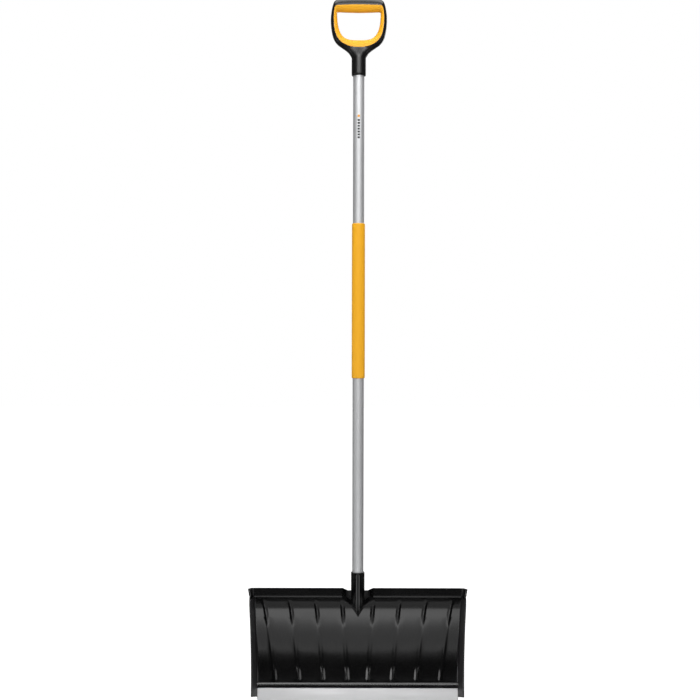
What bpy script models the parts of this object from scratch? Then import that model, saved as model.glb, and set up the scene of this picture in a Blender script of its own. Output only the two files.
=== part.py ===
"""A snow pusher: a ribbed, curved blade with a metal wear edge, on a straight tube with two grips.

Metres, +Z up along the shaft, the blade's front facing -Y. The origin is the middle of the wear edge's
ground face. "Forward" is a distance in front of the shaft's axis, which is the plane y = SHAFT_Y.
"""

import math

import bmesh
import bpy
from mathutils import Matrix, Vector

GAP = 0.0003

# Shaft
SHAFT_Y = 0.050
TUBE_RADIUS = 0.0129
TUBE_WALL = 0.0015
TUBE_LOW_Z = 0.128
TUBE_HIGH_Z = 1.468
PLUG_FLANGE = 0.0025
MID_GRIP_RADIUS = 0.0151
MID_GRIP_LOW_Z = 0.7256
MID_GRIP_HIGH_Z = 1.0810

# Blade sheet, front face in side view: a straight foot, a wide arc, a tight curl and a band that leans back
SHEET_THICKNESS = 0.003
SHEET_FORWARD = 0.017
SHEET_LOW_Z = 0.008
FOOT_TOP_Z = 0.042
ARC_CENTRE_Z = 0.138
ARC_RADIUS = 0.285
CURL_LOW_Z = 0.200
BAND_LOW_Z = 0.233
BAND_HIGH_Z = 0.253
BAND_FORWARD = 0.047
BAND_LEAN = 0.15

# Blade in front view
CORNER_LOW_X = 0.2272
CORNER_SLOPE = 0.0458
CORNER_FILLET = 0.003
CHEEK_SPLAY = 0.14
CHEEK_DEPTH_AT_GROUND = 0.060
CHEEK_DEPTH_SLOPE = 0.11
CHEEK_RIM_LOW_Z = 0.024
CHEEK_RIM_HIGH_Z = 0.258
CAP_THICKNESS = 0.0007

# Ribs, which fan out upwards
RIB_COUNT = 8
RIB_WIDTH = 0.011
RIB_CREST = 0.005
RIB_HEIGHT = 0.0035
RIB_MIDDLE_SHARE = 0.25
RIB_FIRST_LOW_X = 0.0234
RIB_PITCH_LOW = 0.05467
RIB_FIRST_HIGH_X = 0.0353
RIB_PITCH_HIGH = 0.0591
RIB_HIGH_Z = 0.2165
RIB_FADE = 0.012
RIB_FOOT = 0.0015

# Socket and the V notch that lets it through
SOCKET_RADIUS = 0.0156
SOCKET_LOW_Z = 0.096
SOCKET_HIGH_Z = 0.2804
SOCKET_KEEL_WIDTH = 0.007
SOCKET_KEEL_HEIGHT = 0.0007
NOTCH_TIP_Z = 0.196
NOTCH_SHOULDER_Z = 0.2275
NOTCH_FRONT_HALF = 0.035
NOTCH_BACK_HALF = 0.023
NOTCH_KNEE_FORWARD = 0.022
NOTCH_BACK_FORWARD = 0.002
NOTCH_KNEE_TOP_Z = 0.2485
NOTCH_BACK_TOP_Z = 0.2370
NOTCH_WALL = 0.003
BEAK_TIP_Z = 0.1806
BEAK_HALF = 0.018
BEAK_DEPTH = 0.009
WEB_HEIGHTS = (0.118, 0.168)
WEB_REACH = 0.100
WEB_THICKNESS = 0.003

# Lip and wear edge
LIP_TOP_Z = 0.0383
LIP_LOW_Z = 0.0276
LIP_PROUD = 0.0049
EDGE_THICKNESS = 0.0025
EDGE_HALF_WIDTH = 0.2263
EDGE_TOP_Z = 0.0360
EDGE_CORNER_RADIUS = 0.004
EDGE_SCREW_COUNT = 8
EDGE_SCREW_PITCH = 0.056
EDGE_SCREW_Z = 0.0325
EDGE_SCREW_RADIUS = 0.0015
EDGE_SCREW_HEAD_RADIUS = 0.0035
EDGE_SCREW_HEAD_HEIGHT = 0.0022
EDGE_SCREW_LENGTH = 0.0068

# Tube screws, which go in from behind
TUBE_SCREW_RADIUS = 0.0020
TUBE_SCREW_HEAD_RADIUS = 0.0042
TUBE_SCREW_HEAD_HEIGHT = 0.0026
TUBE_SCREW_LENGTH = 0.0075
WASHER_RADIUS = 0.0054
WASHER_THICKNESS = 0.0010
PAD_RADIUS = 0.0068
SOCKET_SCREW_HEIGHTS = (0.150, 0.225)
HANDLE_SCREW_Z = 1.4400

# D-handle
COLLAR_RADIUS = 0.0167
COLLAR_LOW_Z = 1.4202
COLLAR_HIGH_Z = 1.4620
COLLAR_BORE_HIGH_Z = 1.4700
RING_BAR_HALF_DEPTH = 0.0150
RING_ARM_HALF_DEPTH = 0.0125
SEAM_GAP = 0.00015
NECK_BURIAL = 0.0007
NECK_FLATNESS = 0.45

ROUND_STEPS = 32
SCREW_STEPS = 12

FOOT_ANGLE = math.asin((ARC_CENTRE_Z - FOOT_TOP_Z) / ARC_RADIUS)


def material(name, colour, roughness, metallic=0.0):
    """A Principled BSDF of one colour."""
    made = bpy.data.materials.new(name)
    made.use_nodes = True
    shader = made.node_tree.nodes["Principled BSDF"]
    shader.inputs["Base Color"].default_value = (*colour, 1.0)
    shader.inputs["Roughness"].default_value = roughness
    shader.inputs["Metallic"].default_value = metallic
    made.diffuse_color = (*colour, 1.0)
    return made


def collection(name):
    made = bpy.data.collections.new(name)
    bpy.context.scene.collection.children.link(made)
    return made


def add_object(name, data, where, finish=None):
    """A new object in a collection. Without a finish it is a helper, which only cuts or joins others."""
    made = bpy.data.objects.new(name, data)
    where.objects.link(made)
    if finish is None:
        made.hide_render = True
        made.display_type = "WIRE"
    else:
        data.materials.append(finish)
    return made


def mesh_of(mesh_builder, name):
    """A mesh datablock from a bmesh, with its faces turned outwards."""
    bmesh.ops.recalc_face_normals(mesh_builder, faces=mesh_builder.faces)
    mesh = bpy.data.meshes.new(name)
    mesh_builder.to_mesh(mesh)
    mesh_builder.free()
    return mesh


def shade_round(obj, degrees=35.0):
    obj.data.shade_smooth()
    obj.data.set_sharp_from_angle(angle=math.radians(degrees))


def loft(name, rings, where, finish=None, capped=True):
    """A solid skinned over rings that have the same number of points. A closed loop of rings has no caps."""
    builder = bmesh.new()
    rows = []
    for ring in rings:
        rows.append([builder.verts.new(point) for point in ring])
    count = len(rows[0])
    spans = len(rows) - 1 if capped else len(rows)
    for row in range(spans):
        low = rows[row]
        high = rows[(row + 1) % len(rows)]
        for k in range(count):
            after = (k + 1) % count
            builder.faces.new((low[k], low[after], high[after], high[k]))
    if capped:
        builder.faces.new(rows[0])
        builder.faces.new(rows[-1])
    return add_object(name, mesh_of(builder, name), where, finish)


def cylinder(name, radius, depth, matrix, where, finish=None, steps=SCREW_STEPS):
    builder = bmesh.new()
    bmesh.ops.create_cone(
        builder, cap_ends=True, segments=steps, radius1=radius, radius2=radius, depth=depth, matrix=matrix
    )
    return add_object(name, mesh_of(builder, name), where, finish)


def box(name, low, high, where, finish=None):
    builder = bmesh.new()
    size = Vector(high) - Vector(low)
    middle = (Vector(high) + Vector(low)) / 2
    placing = Matrix.Translation(middle) @ Matrix.Diagonal((*size, 1.0))
    bmesh.ops.create_cube(builder, size=1.0, matrix=placing)
    return add_object(name, mesh_of(builder, name), where, finish)


def turned(name, profile, where, finish=None, steps=ROUND_STEPS):
    """A turned piece about its own Z axis: (radius, height) points, down the outer side from the top."""
    mesh = bpy.data.meshes.new(name)
    count = len(profile)
    closed = profile[0][0] > 0.0 and profile[-1][0] > 0.0
    edges = [(k, k + 1) for k in range(count - 1)]
    if closed:
        edges.append((count - 1, 0))
    mesh.from_pydata([(radius, 0.0, height) for radius, height in profile], edges, [])
    made = add_object(name, mesh, where, finish)
    screw = made.modifiers.new("turn", "SCREW")
    screw.axis = "Z"
    screw.steps = steps
    screw.render_steps = steps
    screw.use_merge_vertices = True
    screw.merge_threshold = 0.00001
    screw.use_smooth_shade = True
    return made


def outline_solid(name, points, half_thickness, matrix, where, finish=None):
    """A flat outline, given as (x, y) points, filled and extruded both ways, made a mesh."""
    curve = bpy.data.curves.new(name, "CURVE")
    curve.dimensions = "2D"
    curve.fill_mode = "BOTH"
    curve.extrude = half_thickness
    spline = curve.splines.new("POLY")
    spline.points.add(len(points) - 1)
    for point, (x, y) in zip(spline.points, points):
        point.co = (x, y, 0.0, 1.0)
    spline.use_cyclic_u = True
    drawn = bpy.data.objects.new(name + "_outline", curve)
    drawn.matrix_world = matrix
    bpy.context.scene.collection.objects.link(drawn)
    bpy.context.view_layer.update()
    graph = bpy.context.evaluated_depsgraph_get()
    mesh = bpy.data.meshes.new_from_object(drawn.evaluated_get(graph))
    bpy.data.objects.remove(drawn)
    mesh.name = name
    builder = bmesh.new()
    builder.from_mesh(mesh)
    bmesh.ops.remove_doubles(builder, verts=builder.verts, dist=0.000001)
    bmesh.ops.recalc_face_normals(builder, faces=builder.faces)
    builder.to_mesh(mesh)
    builder.free()
    mesh.materials.clear()
    made = add_object(name, mesh, where, finish)
    made.matrix_world = matrix
    return made


def boolean(target, operation, other):
    modifier = target.modifiers.new(operation.lower() + "_" + other.name, "BOOLEAN")
    modifier.operation = operation
    modifier.object = other
    modifier.solver = "EXACT"


def join(target, other):
    boolean(target, "UNION", other)


def cut(target, other):
    boolean(target, "DIFFERENCE", other)


# The blade's shape


def arc_forward(z):
    """The sheet's front face without its curl: the straight foot and the wide arc."""
    if z >= FOOT_TOP_Z:
        rise = math.sqrt(ARC_RADIUS**2 - (z - ARC_CENTRE_Z) ** 2)
        return SHEET_FORWARD + ARC_RADIUS - rise
    return arc_forward(FOOT_TOP_Z) + (FOOT_TOP_Z - z) * math.tan(FOOT_ANGLE)


def curl_shape():
    """(radius, start angle, end angle) of the curl that joins the wide arc to the foot of the band."""
    start = math.asin((CURL_LOW_Z - ARC_CENTRE_Z) / ARC_RADIUS)
    climb = BAND_LOW_Z - CURL_LOW_Z
    reach = BAND_FORWARD - arc_forward(CURL_LOW_Z)
    end = 2 * math.atan2(reach, climb) - start
    return climb / (math.sin(end) - math.sin(start)), start, end


def sheet_forward(z):
    """The sheet's front face at a height."""
    if z <= CURL_LOW_Z:
        return arc_forward(z)
    if z >= BAND_LOW_Z:
        return BAND_FORWARD - BAND_LEAN * (z - BAND_LOW_Z)
    radius, start, _ = curl_shape()
    angle = math.asin(math.sin(start) + (z - CURL_LOW_Z) / radius)
    return arc_forward(CURL_LOW_Z) + radius * (math.cos(start) - math.cos(angle))


def profile_heights():
    """Heights of the sheet's rows of points: even steps in angle along the arc and the curl."""
    heights = [SHEET_LOW_Z, 0.025, FOOT_TOP_Z - RIB_FOOT]
    arc_rows = 11
    arc_end = math.asin((CURL_LOW_Z - ARC_CENTRE_Z) / ARC_RADIUS)
    for row in range(arc_rows + 1):
        angle = -FOOT_ANGLE + (arc_end + FOOT_ANGLE) * row / arc_rows
        heights.append(ARC_CENTRE_Z + ARC_RADIUS * math.sin(angle))
    radius, start, end = curl_shape()
    curl_rows = 6
    for row in range(1, curl_rows + 1):
        angle = start + (end - start) * row / curl_rows
        heights.append(CURL_LOW_Z + radius * (math.sin(angle) - math.sin(start)))
    heights.append(BAND_HIGH_Z)
    return heights


def smooth_step(low, high, value):
    share = min(max((value - low) / (high - low), 0.0), 1.0)
    return share * share * (3 - 2 * share)


def rib_height(z):
    """Ribs stand tall where the sheet curves in at its top and foot, sink in between and end in the lip."""
    if z < FOOT_TOP_Z:
        return 0.0
    tall = smooth_step(0.035, 0.070, abs(z - 0.122))
    share = RIB_MIDDLE_SHARE + (1 - RIB_MIDDLE_SHARE) * tall
    fade = 1 - smooth_step(RIB_HIGH_Z - RIB_FADE, RIB_HIGH_Z + RIB_FADE, z)
    return RIB_HEIGHT * share * fade


def rib_middle(index, z):
    low = RIB_FIRST_LOW_X + RIB_PITCH_LOW * index
    high = RIB_FIRST_HIGH_X + RIB_PITCH_HIGH * index
    return low + (high - low) * (z - FOOT_TOP_Z) / (RIB_HIGH_Z - FOOT_TOP_Z)


def corner_x(z):
    return CORNER_LOW_X + CORNER_SLOPE * (z - FOOT_TOP_Z)


def sheet_normal(z):
    """(forward, up) of the sheet's front face."""
    step = 0.0005
    slope = (sheet_forward(z + step) - sheet_forward(z - step)) / (2 * step)
    length = math.hypot(1.0, slope)
    return 1.0 / length, -slope / length


def rim_z(z):
    """The height on a cheek's rim that belongs to a height on the sheet."""
    share = (z - SHEET_LOW_Z) / (BAND_HIGH_Z - SHEET_LOW_Z)
    return CHEEK_RIM_LOW_Z + share * (CHEEK_RIM_HIGH_Z - CHEEK_RIM_LOW_Z)


def cheek_point(z, share):
    """A point of a cheek's inner face, from the sheet's corner (share 0) to the rim (share 1)."""
    high = rim_z(z)
    rim_forward = arc_forward(high) + CHEEK_DEPTH_AT_GROUND - CHEEK_DEPTH_SLOPE * high
    corner_forward = sheet_forward(z)
    forward = corner_forward + (rim_forward - corner_forward) * share
    x = corner_x(z) + (forward - corner_forward) * CHEEK_SPLAY
    return x, SHAFT_Y - forward, z + (high - z) * share


def blade_row(z):
    """Points of the right half of the blade's front face at a height, from the middle to the cheek's rim."""
    toward, up = sheet_normal(z)
    forward = sheet_forward(z)
    raised = rib_height(z)
    row = [(0.0, SHAFT_Y - forward, z)]
    for index in range(RIB_COUNT // 2):
        middle = rib_middle(index, z)
        for offset, height in (
            (-RIB_WIDTH / 2, 0.0),
            (-RIB_CREST / 2, raised),
            (RIB_CREST / 2, raised),
            (RIB_WIDTH / 2, 0.0),
        ):
            row.append((middle + offset, SHAFT_Y - forward - toward * height, z + up * height))
    row.append((corner_x(z) - CORNER_FILLET, SHAFT_Y - forward, z))
    reach = math.hypot(1.0, CHEEK_SPLAY) * CORNER_FILLET
    rim = Vector(cheek_point(z, 1.0)) - Vector(cheek_point(z, 0.0))
    row.append(cheek_point(z, reach / rim.length))
    row.append(cheek_point(z, 0.55))
    row.append(cheek_point(z, 1.0))
    return row


def blade_shell(where, finish):
    """Sheet, ribs, band and cheeks as one surface of even thickness."""
    builder = bmesh.new()
    rows = []
    for z in profile_heights():
        rows.append([builder.verts.new(point) for point in blade_row(z)])
    for low, high in zip(rows, rows[1:]):
        for k in range(len(low) - 1):
            builder.faces.new((low[k], low[k + 1], high[k + 1], high[k]))
    mesh = bpy.data.meshes.new("blade")
    builder.to_mesh(mesh)
    builder.free()
    made = add_object("blade", mesh, where, finish)
    mirror = made.modifiers.new("halves", "MIRROR")
    mirror.use_axis = (True, False, False)
    mirror.merge_threshold = 0.00001
    shell = made.modifiers.new("thickness", "SOLIDIFY")
    shell.thickness = SHEET_THICKNESS
    shell.offset = -1.0
    shell.use_even_offset = True
    return made


def lip_outline():
    """(forward, z) outline of the lip that covers the wear edge's top."""
    proud = LIP_PROUD / math.cos(FOOT_ANGLE)
    buried = 0.0015
    top = LIP_TOP_Z
    return (
        (arc_forward(top) - buried, top + 0.0004),
        (arc_forward(top) + proud - 0.0006, top),
        (arc_forward(top - 0.0012) + proud, top - 0.0012),
        (arc_forward(LIP_LOW_Z) + proud, LIP_LOW_Z),
        (arc_forward(LIP_LOW_Z) - buried, LIP_LOW_Z - 0.0010),
    )


def across(outline, half_width):
    """Two rings of an outline in the (forward, z) plane, at both ends of a bar along X."""
    return [[(side * half_width, SHAFT_Y - forward, z) for forward, z in outline] for side in (-1, 1)]


def lip(where):
    return loft("lip", across(lip_outline(), corner_x(FOOT_TOP_Z) + 0.0005), where)


def band_cap(side, where):
    """The flange that carries the band round the outside of a cheek."""
    rows = []
    thick = SHEET_THICKNESS * 0.4
    for z in (BAND_LOW_Z + 0.001, BAND_HIGH_Z - 0.0015, BAND_HIGH_Z):
        inner = Vector(cheek_point(z, 0.0))
        outer = Vector(cheek_point(z, 1.0))
        proud = SHEET_THICKNESS + CAP_THICKNESS - (0.0004 if z == BAND_HIGH_Z else 0.0)
        corners = (inner, thick), (outer, thick), (outer, proud), (inner, proud)
        rows.append([(side * (point.x + offset), point.y, point.z) for point, offset in corners])
    return loft("band_cap_" + ("left" if side < 0 else "right"), rows, where)


def notch_outline(half, wall, top, forward):
    """A V-bottomed outline at a distance in front of the shaft, grown by a wall thickness."""
    slope = (NOTCH_SHOULDER_Z - NOTCH_TIP_Z) / NOTCH_FRONT_HALF
    tip = NOTCH_SHOULDER_Z - slope * half - wall * math.hypot(1.0, slope)
    wide = half + wall
    shoulder = tip + slope * wide
    points = ((-wide, top), (-wide, shoulder), (0.0, tip), (wide, shoulder), (wide, top))
    return [(x, SHAFT_Y - forward, z) for x, z in points]


def notch_half(forward):
    """Half the notch's width, which narrows from a knee in its walls towards its back wall."""
    share = min((forward - NOTCH_BACK_FORWARD) / (NOTCH_KNEE_FORWARD - NOTCH_BACK_FORWARD), 1.0)
    return NOTCH_BACK_HALF + (NOTCH_FRONT_HALF - NOTCH_BACK_HALF) * share


def notch_block(where):
    """The solid behind the sheet from which the notch is hollowed."""
    front = BAND_FORWARD - SHEET_THICKNESS / 2
    back = NOTCH_BACK_FORWARD - NOTCH_WALL
    knee = NOTCH_KNEE_FORWARD
    rings = (
        notch_outline(notch_half(front), NOTCH_WALL, BAND_HIGH_Z, front),
        notch_outline(notch_half(knee), NOTCH_WALL, NOTCH_KNEE_TOP_Z, knee),
        notch_outline(notch_half(back), NOTCH_WALL, NOTCH_BACK_TOP_Z, back),
    )
    return loft("notch_block", rings, where)


def notch_cutter(where):
    front = BAND_FORWARD + 0.015
    back = NOTCH_BACK_FORWARD
    top = BAND_HIGH_Z + 0.02
    places = (front, NOTCH_KNEE_FORWARD, back)
    rings = [notch_outline(notch_half(place), 0.0, top, place) for place in places]
    return loft("notch_cutter", rings, where)


def beak_pad(where):
    """The thick spot behind the sheet for the groove below the notch's tip."""
    low = (-BEAK_HALF, SHAFT_Y - BAND_FORWARD, BEAK_TIP_Z - 0.003)
    high = (BEAK_HALF, SHAFT_Y - 0.010, NOTCH_TIP_Z + 0.007)
    return box("beak_pad", low, high, where)


def beak_cutter(where):
    """A V groove below the notch's tip, deepest at its top."""
    top_z = NOTCH_TIP_Z + 0.010
    low = SHAFT_Y - sheet_forward(BEAK_TIP_Z)
    high = SHAFT_Y - sheet_forward(top_z)
    rings = []
    for half, y, depth, z in ((0.0004, low, 0.0004, BEAK_TIP_Z), (BEAK_HALF, high, BEAK_DEPTH, top_z)):
        rings.append([(-half, y - 0.001, z), (0.0, y + depth, z), (half, y - 0.001, z)])
    return loft("beak_cutter", rings, where)


def front_trim(where):
    """Everything in front of the middle of the sheet's thickness."""
    outline = [(0.100, BAND_HIGH_Z + 0.01), (0.100, 0.150)]
    for z in profile_heights():
        if z > 0.150:
            outline.append((sheet_forward(z) - SHEET_THICKNESS / 2, z))
    outline.append((sheet_forward(BAND_HIGH_Z + 0.01) - SHEET_THICKNESS / 2, BAND_HIGH_Z + 0.01))
    outline.insert(2, (sheet_forward(0.150) - SHEET_THICKNESS / 2, 0.150))
    return loft("front_trim", across(outline, 0.06), where)


def socket(where):
    soft = 0.0015
    profile = (
        (0.0, SOCKET_HIGH_Z),
        (SOCKET_RADIUS - soft, SOCKET_HIGH_Z),
        (SOCKET_RADIUS - soft * 0.3, SOCKET_HIGH_Z - soft * 0.3),
        (SOCKET_RADIUS, SOCKET_HIGH_Z - soft),
        (SOCKET_RADIUS, SOCKET_LOW_Z + 0.012),
        (SOCKET_RADIUS * 0.7, SOCKET_LOW_Z + 0.003),
        (0.0, SOCKET_LOW_Z),
    )
    made = turned("socket", profile, where)
    made.location.y = SHAFT_Y
    join(made, socket_keel(where))
    return made


def socket_keel(where):
    """The narrow flat that runs down the socket's front."""
    front = SHAFT_Y - SOCKET_RADIUS - SOCKET_KEEL_HEIGHT
    half = SOCKET_KEEL_WIDTH / 2
    low = (-half, front, SOCKET_LOW_Z + 0.03)
    high = (half, SHAFT_Y - SOCKET_RADIUS + 0.004, SOCKET_HIGH_Z - 0.0025)
    return box("socket_keel", low, high, where)


def tube_bore(name, low, high, where):
    """A bore for the tube, with its corners between those of the wall around it."""
    turn = Matrix.Rotation(math.pi / ROUND_STEPS, 4, "Z")
    place = Matrix.Translation((0.0, SHAFT_Y, (low + high) / 2)) @ turn
    return cylinder(name, TUBE_RADIUS + GAP, high - low, place, where, steps=ROUND_STEPS)


def back_web(z, side, where):
    """A tapering web that ties the socket to the back of the sheet."""
    inside = sheet_forward(z) - SHEET_THICKNESS / 2
    rings = []
    for level in (z - WEB_THICKNESS / 2, z + WEB_THICKNESS / 2):
        rings.append(
            [
                (side * 0.014, SHAFT_Y - inside, level),
                (side * 0.014, SHAFT_Y + 0.004, level),
                (side * WEB_REACH, SHAFT_Y - inside + 0.003, level),
                (side * WEB_REACH, SHAFT_Y - inside, level),
            ]
        )
    place = "left" if side < 0 else "right"
    return loft(f"back_web_{place}_{round(z * 1000)}", rings, where)


# Screws and their holes


def edge_frame(x):
    """Origin on the back of the sheet's foot at a screw, +Z pointing out of the back."""
    forward = arc_forward(EDGE_SCREW_Z)
    normal = Vector((0.0, math.cos(FOOT_ANGLE), -math.sin(FOOT_ANGLE)))
    front = Vector((x, SHAFT_Y - forward, EDGE_SCREW_Z))
    turn = Vector((0.0, 0.0, 1.0)).rotation_difference(normal).to_matrix().to_4x4()
    return Matrix.Translation(front + normal * SHEET_THICKNESS) @ turn


def edge_screw_places():
    first = -(EDGE_SCREW_COUNT - 1) / 2 * EDGE_SCREW_PITCH
    return [first + EDGE_SCREW_PITCH * k for k in range(EDGE_SCREW_COUNT)]


def screw_profile(head_radius, head_height, radius, length, under_head):
    """A domed head above z = under_head and a pointed shank down to z = -length."""
    return (
        (0.0, under_head + head_height),
        (head_radius * 0.55, under_head + head_height * 0.93),
        (head_radius * 0.90, under_head + head_height * 0.55),
        (head_radius, under_head + head_height * 0.15),
        (head_radius, under_head),
        (radius, under_head),
        (radius, -length + radius * 0.7),
        (0.0, -length),
    )


def edge_screws(where, finish):
    profile = screw_profile(
        EDGE_SCREW_HEAD_RADIUS, EDGE_SCREW_HEAD_HEIGHT, EDGE_SCREW_RADIUS, EDGE_SCREW_LENGTH, GAP
    )
    for number, x in enumerate(edge_screw_places(), 1):
        screw = turned(f"edge_screw_{number}", profile, where, finish, steps=SCREW_STEPS)
        screw.matrix_world = edge_frame(x)


def edge_screw_holes(where):
    """One cutter with a hole for each wear edge screw."""
    builder = bmesh.new()
    depth = EDGE_SCREW_LENGTH + GAP + 0.004
    for x in edge_screw_places():
        middle = Matrix.Translation((0.0, 0.0, 0.004 - depth / 2))
        bmesh.ops.create_cone(
            builder,
            cap_ends=True,
            segments=SCREW_STEPS,
            radius1=EDGE_SCREW_RADIUS + GAP,
            radius2=EDGE_SCREW_RADIUS + GAP,
            depth=depth,
            matrix=edge_frame(x) @ middle,
        )
    return add_object("edge_screw_holes", mesh_of(builder, "edge_screw_holes"), where)


def rear_frame(z, radius):
    """Origin on a screw's flat seat behind the tube, +Z pointing backwards."""
    return Matrix.Translation((0.0, SHAFT_Y + radius, z)) @ Matrix.Rotation(math.radians(-90), 4, "X")


def tube_screw(name, seat, where, finish, washer_finish):
    """A screw and its washer, with the seat's frame."""
    washer = turned(
        name + "_washer",
        (
            (WASHER_RADIUS, GAP + WASHER_THICKNESS),
            (WASHER_RADIUS, GAP),
            (TUBE_SCREW_RADIUS + GAP, GAP),
            (TUBE_SCREW_RADIUS + GAP, GAP + WASHER_THICKNESS),
        ),
        where,
        washer_finish,
        steps=16,
    )
    washer.matrix_world = seat
    under_head = 2 * GAP + WASHER_THICKNESS
    profile = screw_profile(
        TUBE_SCREW_HEAD_RADIUS, TUBE_SCREW_HEAD_HEIGHT, TUBE_SCREW_RADIUS, TUBE_SCREW_LENGTH, under_head
    )
    screw = turned(name, profile, where, finish, steps=SCREW_STEPS)
    screw.matrix_world = seat


def tube_screw_hole(name, seat, where):
    depth = TUBE_SCREW_LENGTH + 2 * GAP + 0.004
    return cylinder(
        name,
        TUBE_SCREW_RADIUS + GAP,
        depth,
        seat @ Matrix.Translation((0.0, 0.0, 0.004 - depth / 2)),
        where,
    )


def seat_cutter(name, seat, where):
    """Faces a round wall flat around a screw."""
    return cylinder(name, PAD_RADIUS, 0.006, seat @ Matrix.Translation((0.0, 0.0, 0.003)), where, steps=20)


# The assembled pieces


def build_blade(parts, helpers, edge_holes, finish):
    blade = blade_shell(parts, finish)
    join(blade, lip(helpers))
    cut(blade, edge_slot(helpers))
    cut(blade, edge_holes)
    for side in (-1, 1):
        join(blade, band_cap(side, helpers))
    trim = front_trim(helpers)
    for backing in (notch_block(helpers), beak_pad(helpers)):
        cut(backing, trim)
        join(blade, backing)
    cut(blade, notch_cutter(helpers))
    join(blade, socket(helpers))
    cut(blade, beak_cutter(helpers))
    for z in WEB_HEIGHTS:
        for side in (-1, 1):
            join(blade, back_web(z, side, helpers))
    cut(blade, tube_bore("socket_bore", TUBE_LOW_Z - PLUG_FLANGE - 2 * GAP, SOCKET_HIGH_Z + 0.03, helpers))
    shade_round(blade)
    return blade


def edge_plane(forward_offset):
    """The wear edge's own plane: X along the blade, Y up the plate, Z out of its front."""
    tilt = Matrix.Rotation(math.radians(90) - FOOT_ANGLE, 4, "X")
    return Matrix.Translation((0.0, -forward_offset, 0.0)) @ tilt


def edge_outline(half_width, top, radius, low):
    """(x, y) outline of the plate with rounded lower corners."""
    points = [(half_width, top), (-half_width, top)]
    arc_steps = 6
    for side, first in ((-1, 180), (1, 270)):
        for step in range(arc_steps + 1):
            angle = math.radians(first + 90 * step / arc_steps)
            middle = side * (half_width - radius)
            points.append((middle + radius * math.cos(angle), low + radius + radius * math.sin(angle)))
    return points


def edge_slot(where):
    """The room that the wear edge takes up in the blade."""
    top = (EDGE_TOP_Z + GAP) / math.cos(FOOT_ANGLE) + GAP
    half = EDGE_HALF_WIDTH + GAP
    points = [(half, top), (-half, top), (-half, -0.02), (half, -0.02)]
    return outline_solid("edge_slot", points, EDGE_THICKNESS / 2 + GAP, edge_plane(0.0), where)


def build_wear_edge(parts, helpers, finish):
    """The plate, with its foot ground level with the floor."""
    top = EDGE_TOP_Z / math.cos(FOOT_ANGLE)
    outline = edge_outline(EDGE_HALF_WIDTH, top, EDGE_CORNER_RADIUS, -0.0012)
    edge = outline_solid("wear_edge", outline, EDGE_THICKNESS / 2, edge_plane(0.0), parts, finish)
    ground = box("ground_cutter", (-0.3, -0.02, -0.01), (0.3, 0.02, 0.0), helpers)
    cut(edge, ground)
    return edge


def build_tube(parts, finish):
    radius = TUBE_RADIUS
    inner = TUBE_RADIUS - TUBE_WALL
    profile = ((radius, TUBE_HIGH_Z), (radius, TUBE_LOW_Z), (inner, TUBE_LOW_Z), (inner, TUBE_HIGH_Z))
    tube = turned("shaft_tube", profile, parts, finish)
    tube.location.y = SHAFT_Y
    return tube


def build_end_plug(parts, finish):
    """The plug that closes the tube's lower end."""
    flange = TUBE_RADIUS - 0.0004
    body = TUBE_RADIUS - TUBE_WALL - GAP
    face = TUBE_LOW_Z - GAP
    profile = (
        (0.0, TUBE_LOW_Z + 0.014),
        (body - 0.001, TUBE_LOW_Z + 0.014),
        (body, TUBE_LOW_Z + 0.012),
        (body, face),
        (flange, face),
        (flange, face - PLUG_FLANGE),
        (0.0, face - PLUG_FLANGE),
    )
    plug = turned("tube_end_plug", profile, parts, finish)
    plug.location.y = SHAFT_Y
    return plug


def build_mid_grip(parts, finish):
    outer = MID_GRIP_RADIUS
    bore = TUBE_RADIUS + GAP
    low, high = MID_GRIP_LOW_Z, MID_GRIP_HIGH_Z
    soft = 0.0022
    profile = [(bore, high), (outer - soft, high)]
    for step in range(1, 5):
        angle = math.radians(90 - 22.5 * step)
        profile.append((outer - soft + soft * math.cos(angle), high - soft + soft * math.sin(angle)))
    for step in range(5):
        angle = math.radians(-22.5 * step)
        profile.append((outer - soft + soft * math.cos(angle), low + soft + soft * math.sin(angle)))
    profile.append((bore, low))
    grip = turned("mid_grip", profile, parts, finish)
    grip.location.y = SHAFT_Y
    return grip


# The D-handle: three loops in front view (outside, colour seam, hand opening) joined by oval sections

RING_POINTS = 60
OUTER_LOOP = (
    (0.0000, 1.5995),
    (0.0300, 1.5987),
    (0.0520, 1.5950),
    (0.0595, 1.5850),
    (0.0640, 1.5620),
    (0.0647, 1.5430),
    (0.0620, 1.5190),
    (0.0560, 1.5010),
    (0.0440, 1.4895),
    (0.0240, 1.4805),
    (0.0000, 1.4775),
)
SEAM_LOOP = (
    (0.0000, 1.5805),
    (0.0300, 1.5800),
    (0.0495, 1.5790),
    (0.0552, 1.5740),
    (0.0572, 1.5600),
    (0.0573, 1.5420),
    (0.0545, 1.5210),
    (0.0485, 1.5060),
    (0.0370, 1.4940),
    (0.0200, 1.4865),
    (0.0000, 1.4843),
)
OPENING_LOOP = (
    (0.0000, 1.5662),
    (0.0300, 1.5670),
    (0.0470, 1.5675),
    (0.0498, 1.5640),
    (0.0495, 1.5520),
    (0.0480, 1.5380),
    (0.0440, 1.5230),
    (0.0370, 1.5120),
    (0.0280, 1.5058),
    (0.0150, 1.5030),
    (0.0000, 1.5027),
)


def spline_point(points, place):
    """A point on a smooth curve through points of a half loop, which is level where it crosses x = 0."""
    last = len(points) - 1
    span = min(int(place), last - 1)
    share = place - span
    mirrored = [(-x, z) for x, z in points]
    before = Vector(mirrored[1] if span == 0 else points[span - 1])
    after = Vector(mirrored[last - 1] if span == last - 1 else points[span + 2])
    start, end = Vector(points[span]), Vector(points[span + 1])
    leave = (end - before) / 2
    arrive = (after - start) / 2
    square, cube = share**2, share**3
    return (
        start * (2 * cube - 3 * square + 1)
        + leave * (cube - 2 * square + share)
        + end * (3 * square - 2 * cube)
        + arrive * (cube - square)
    )


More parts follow.
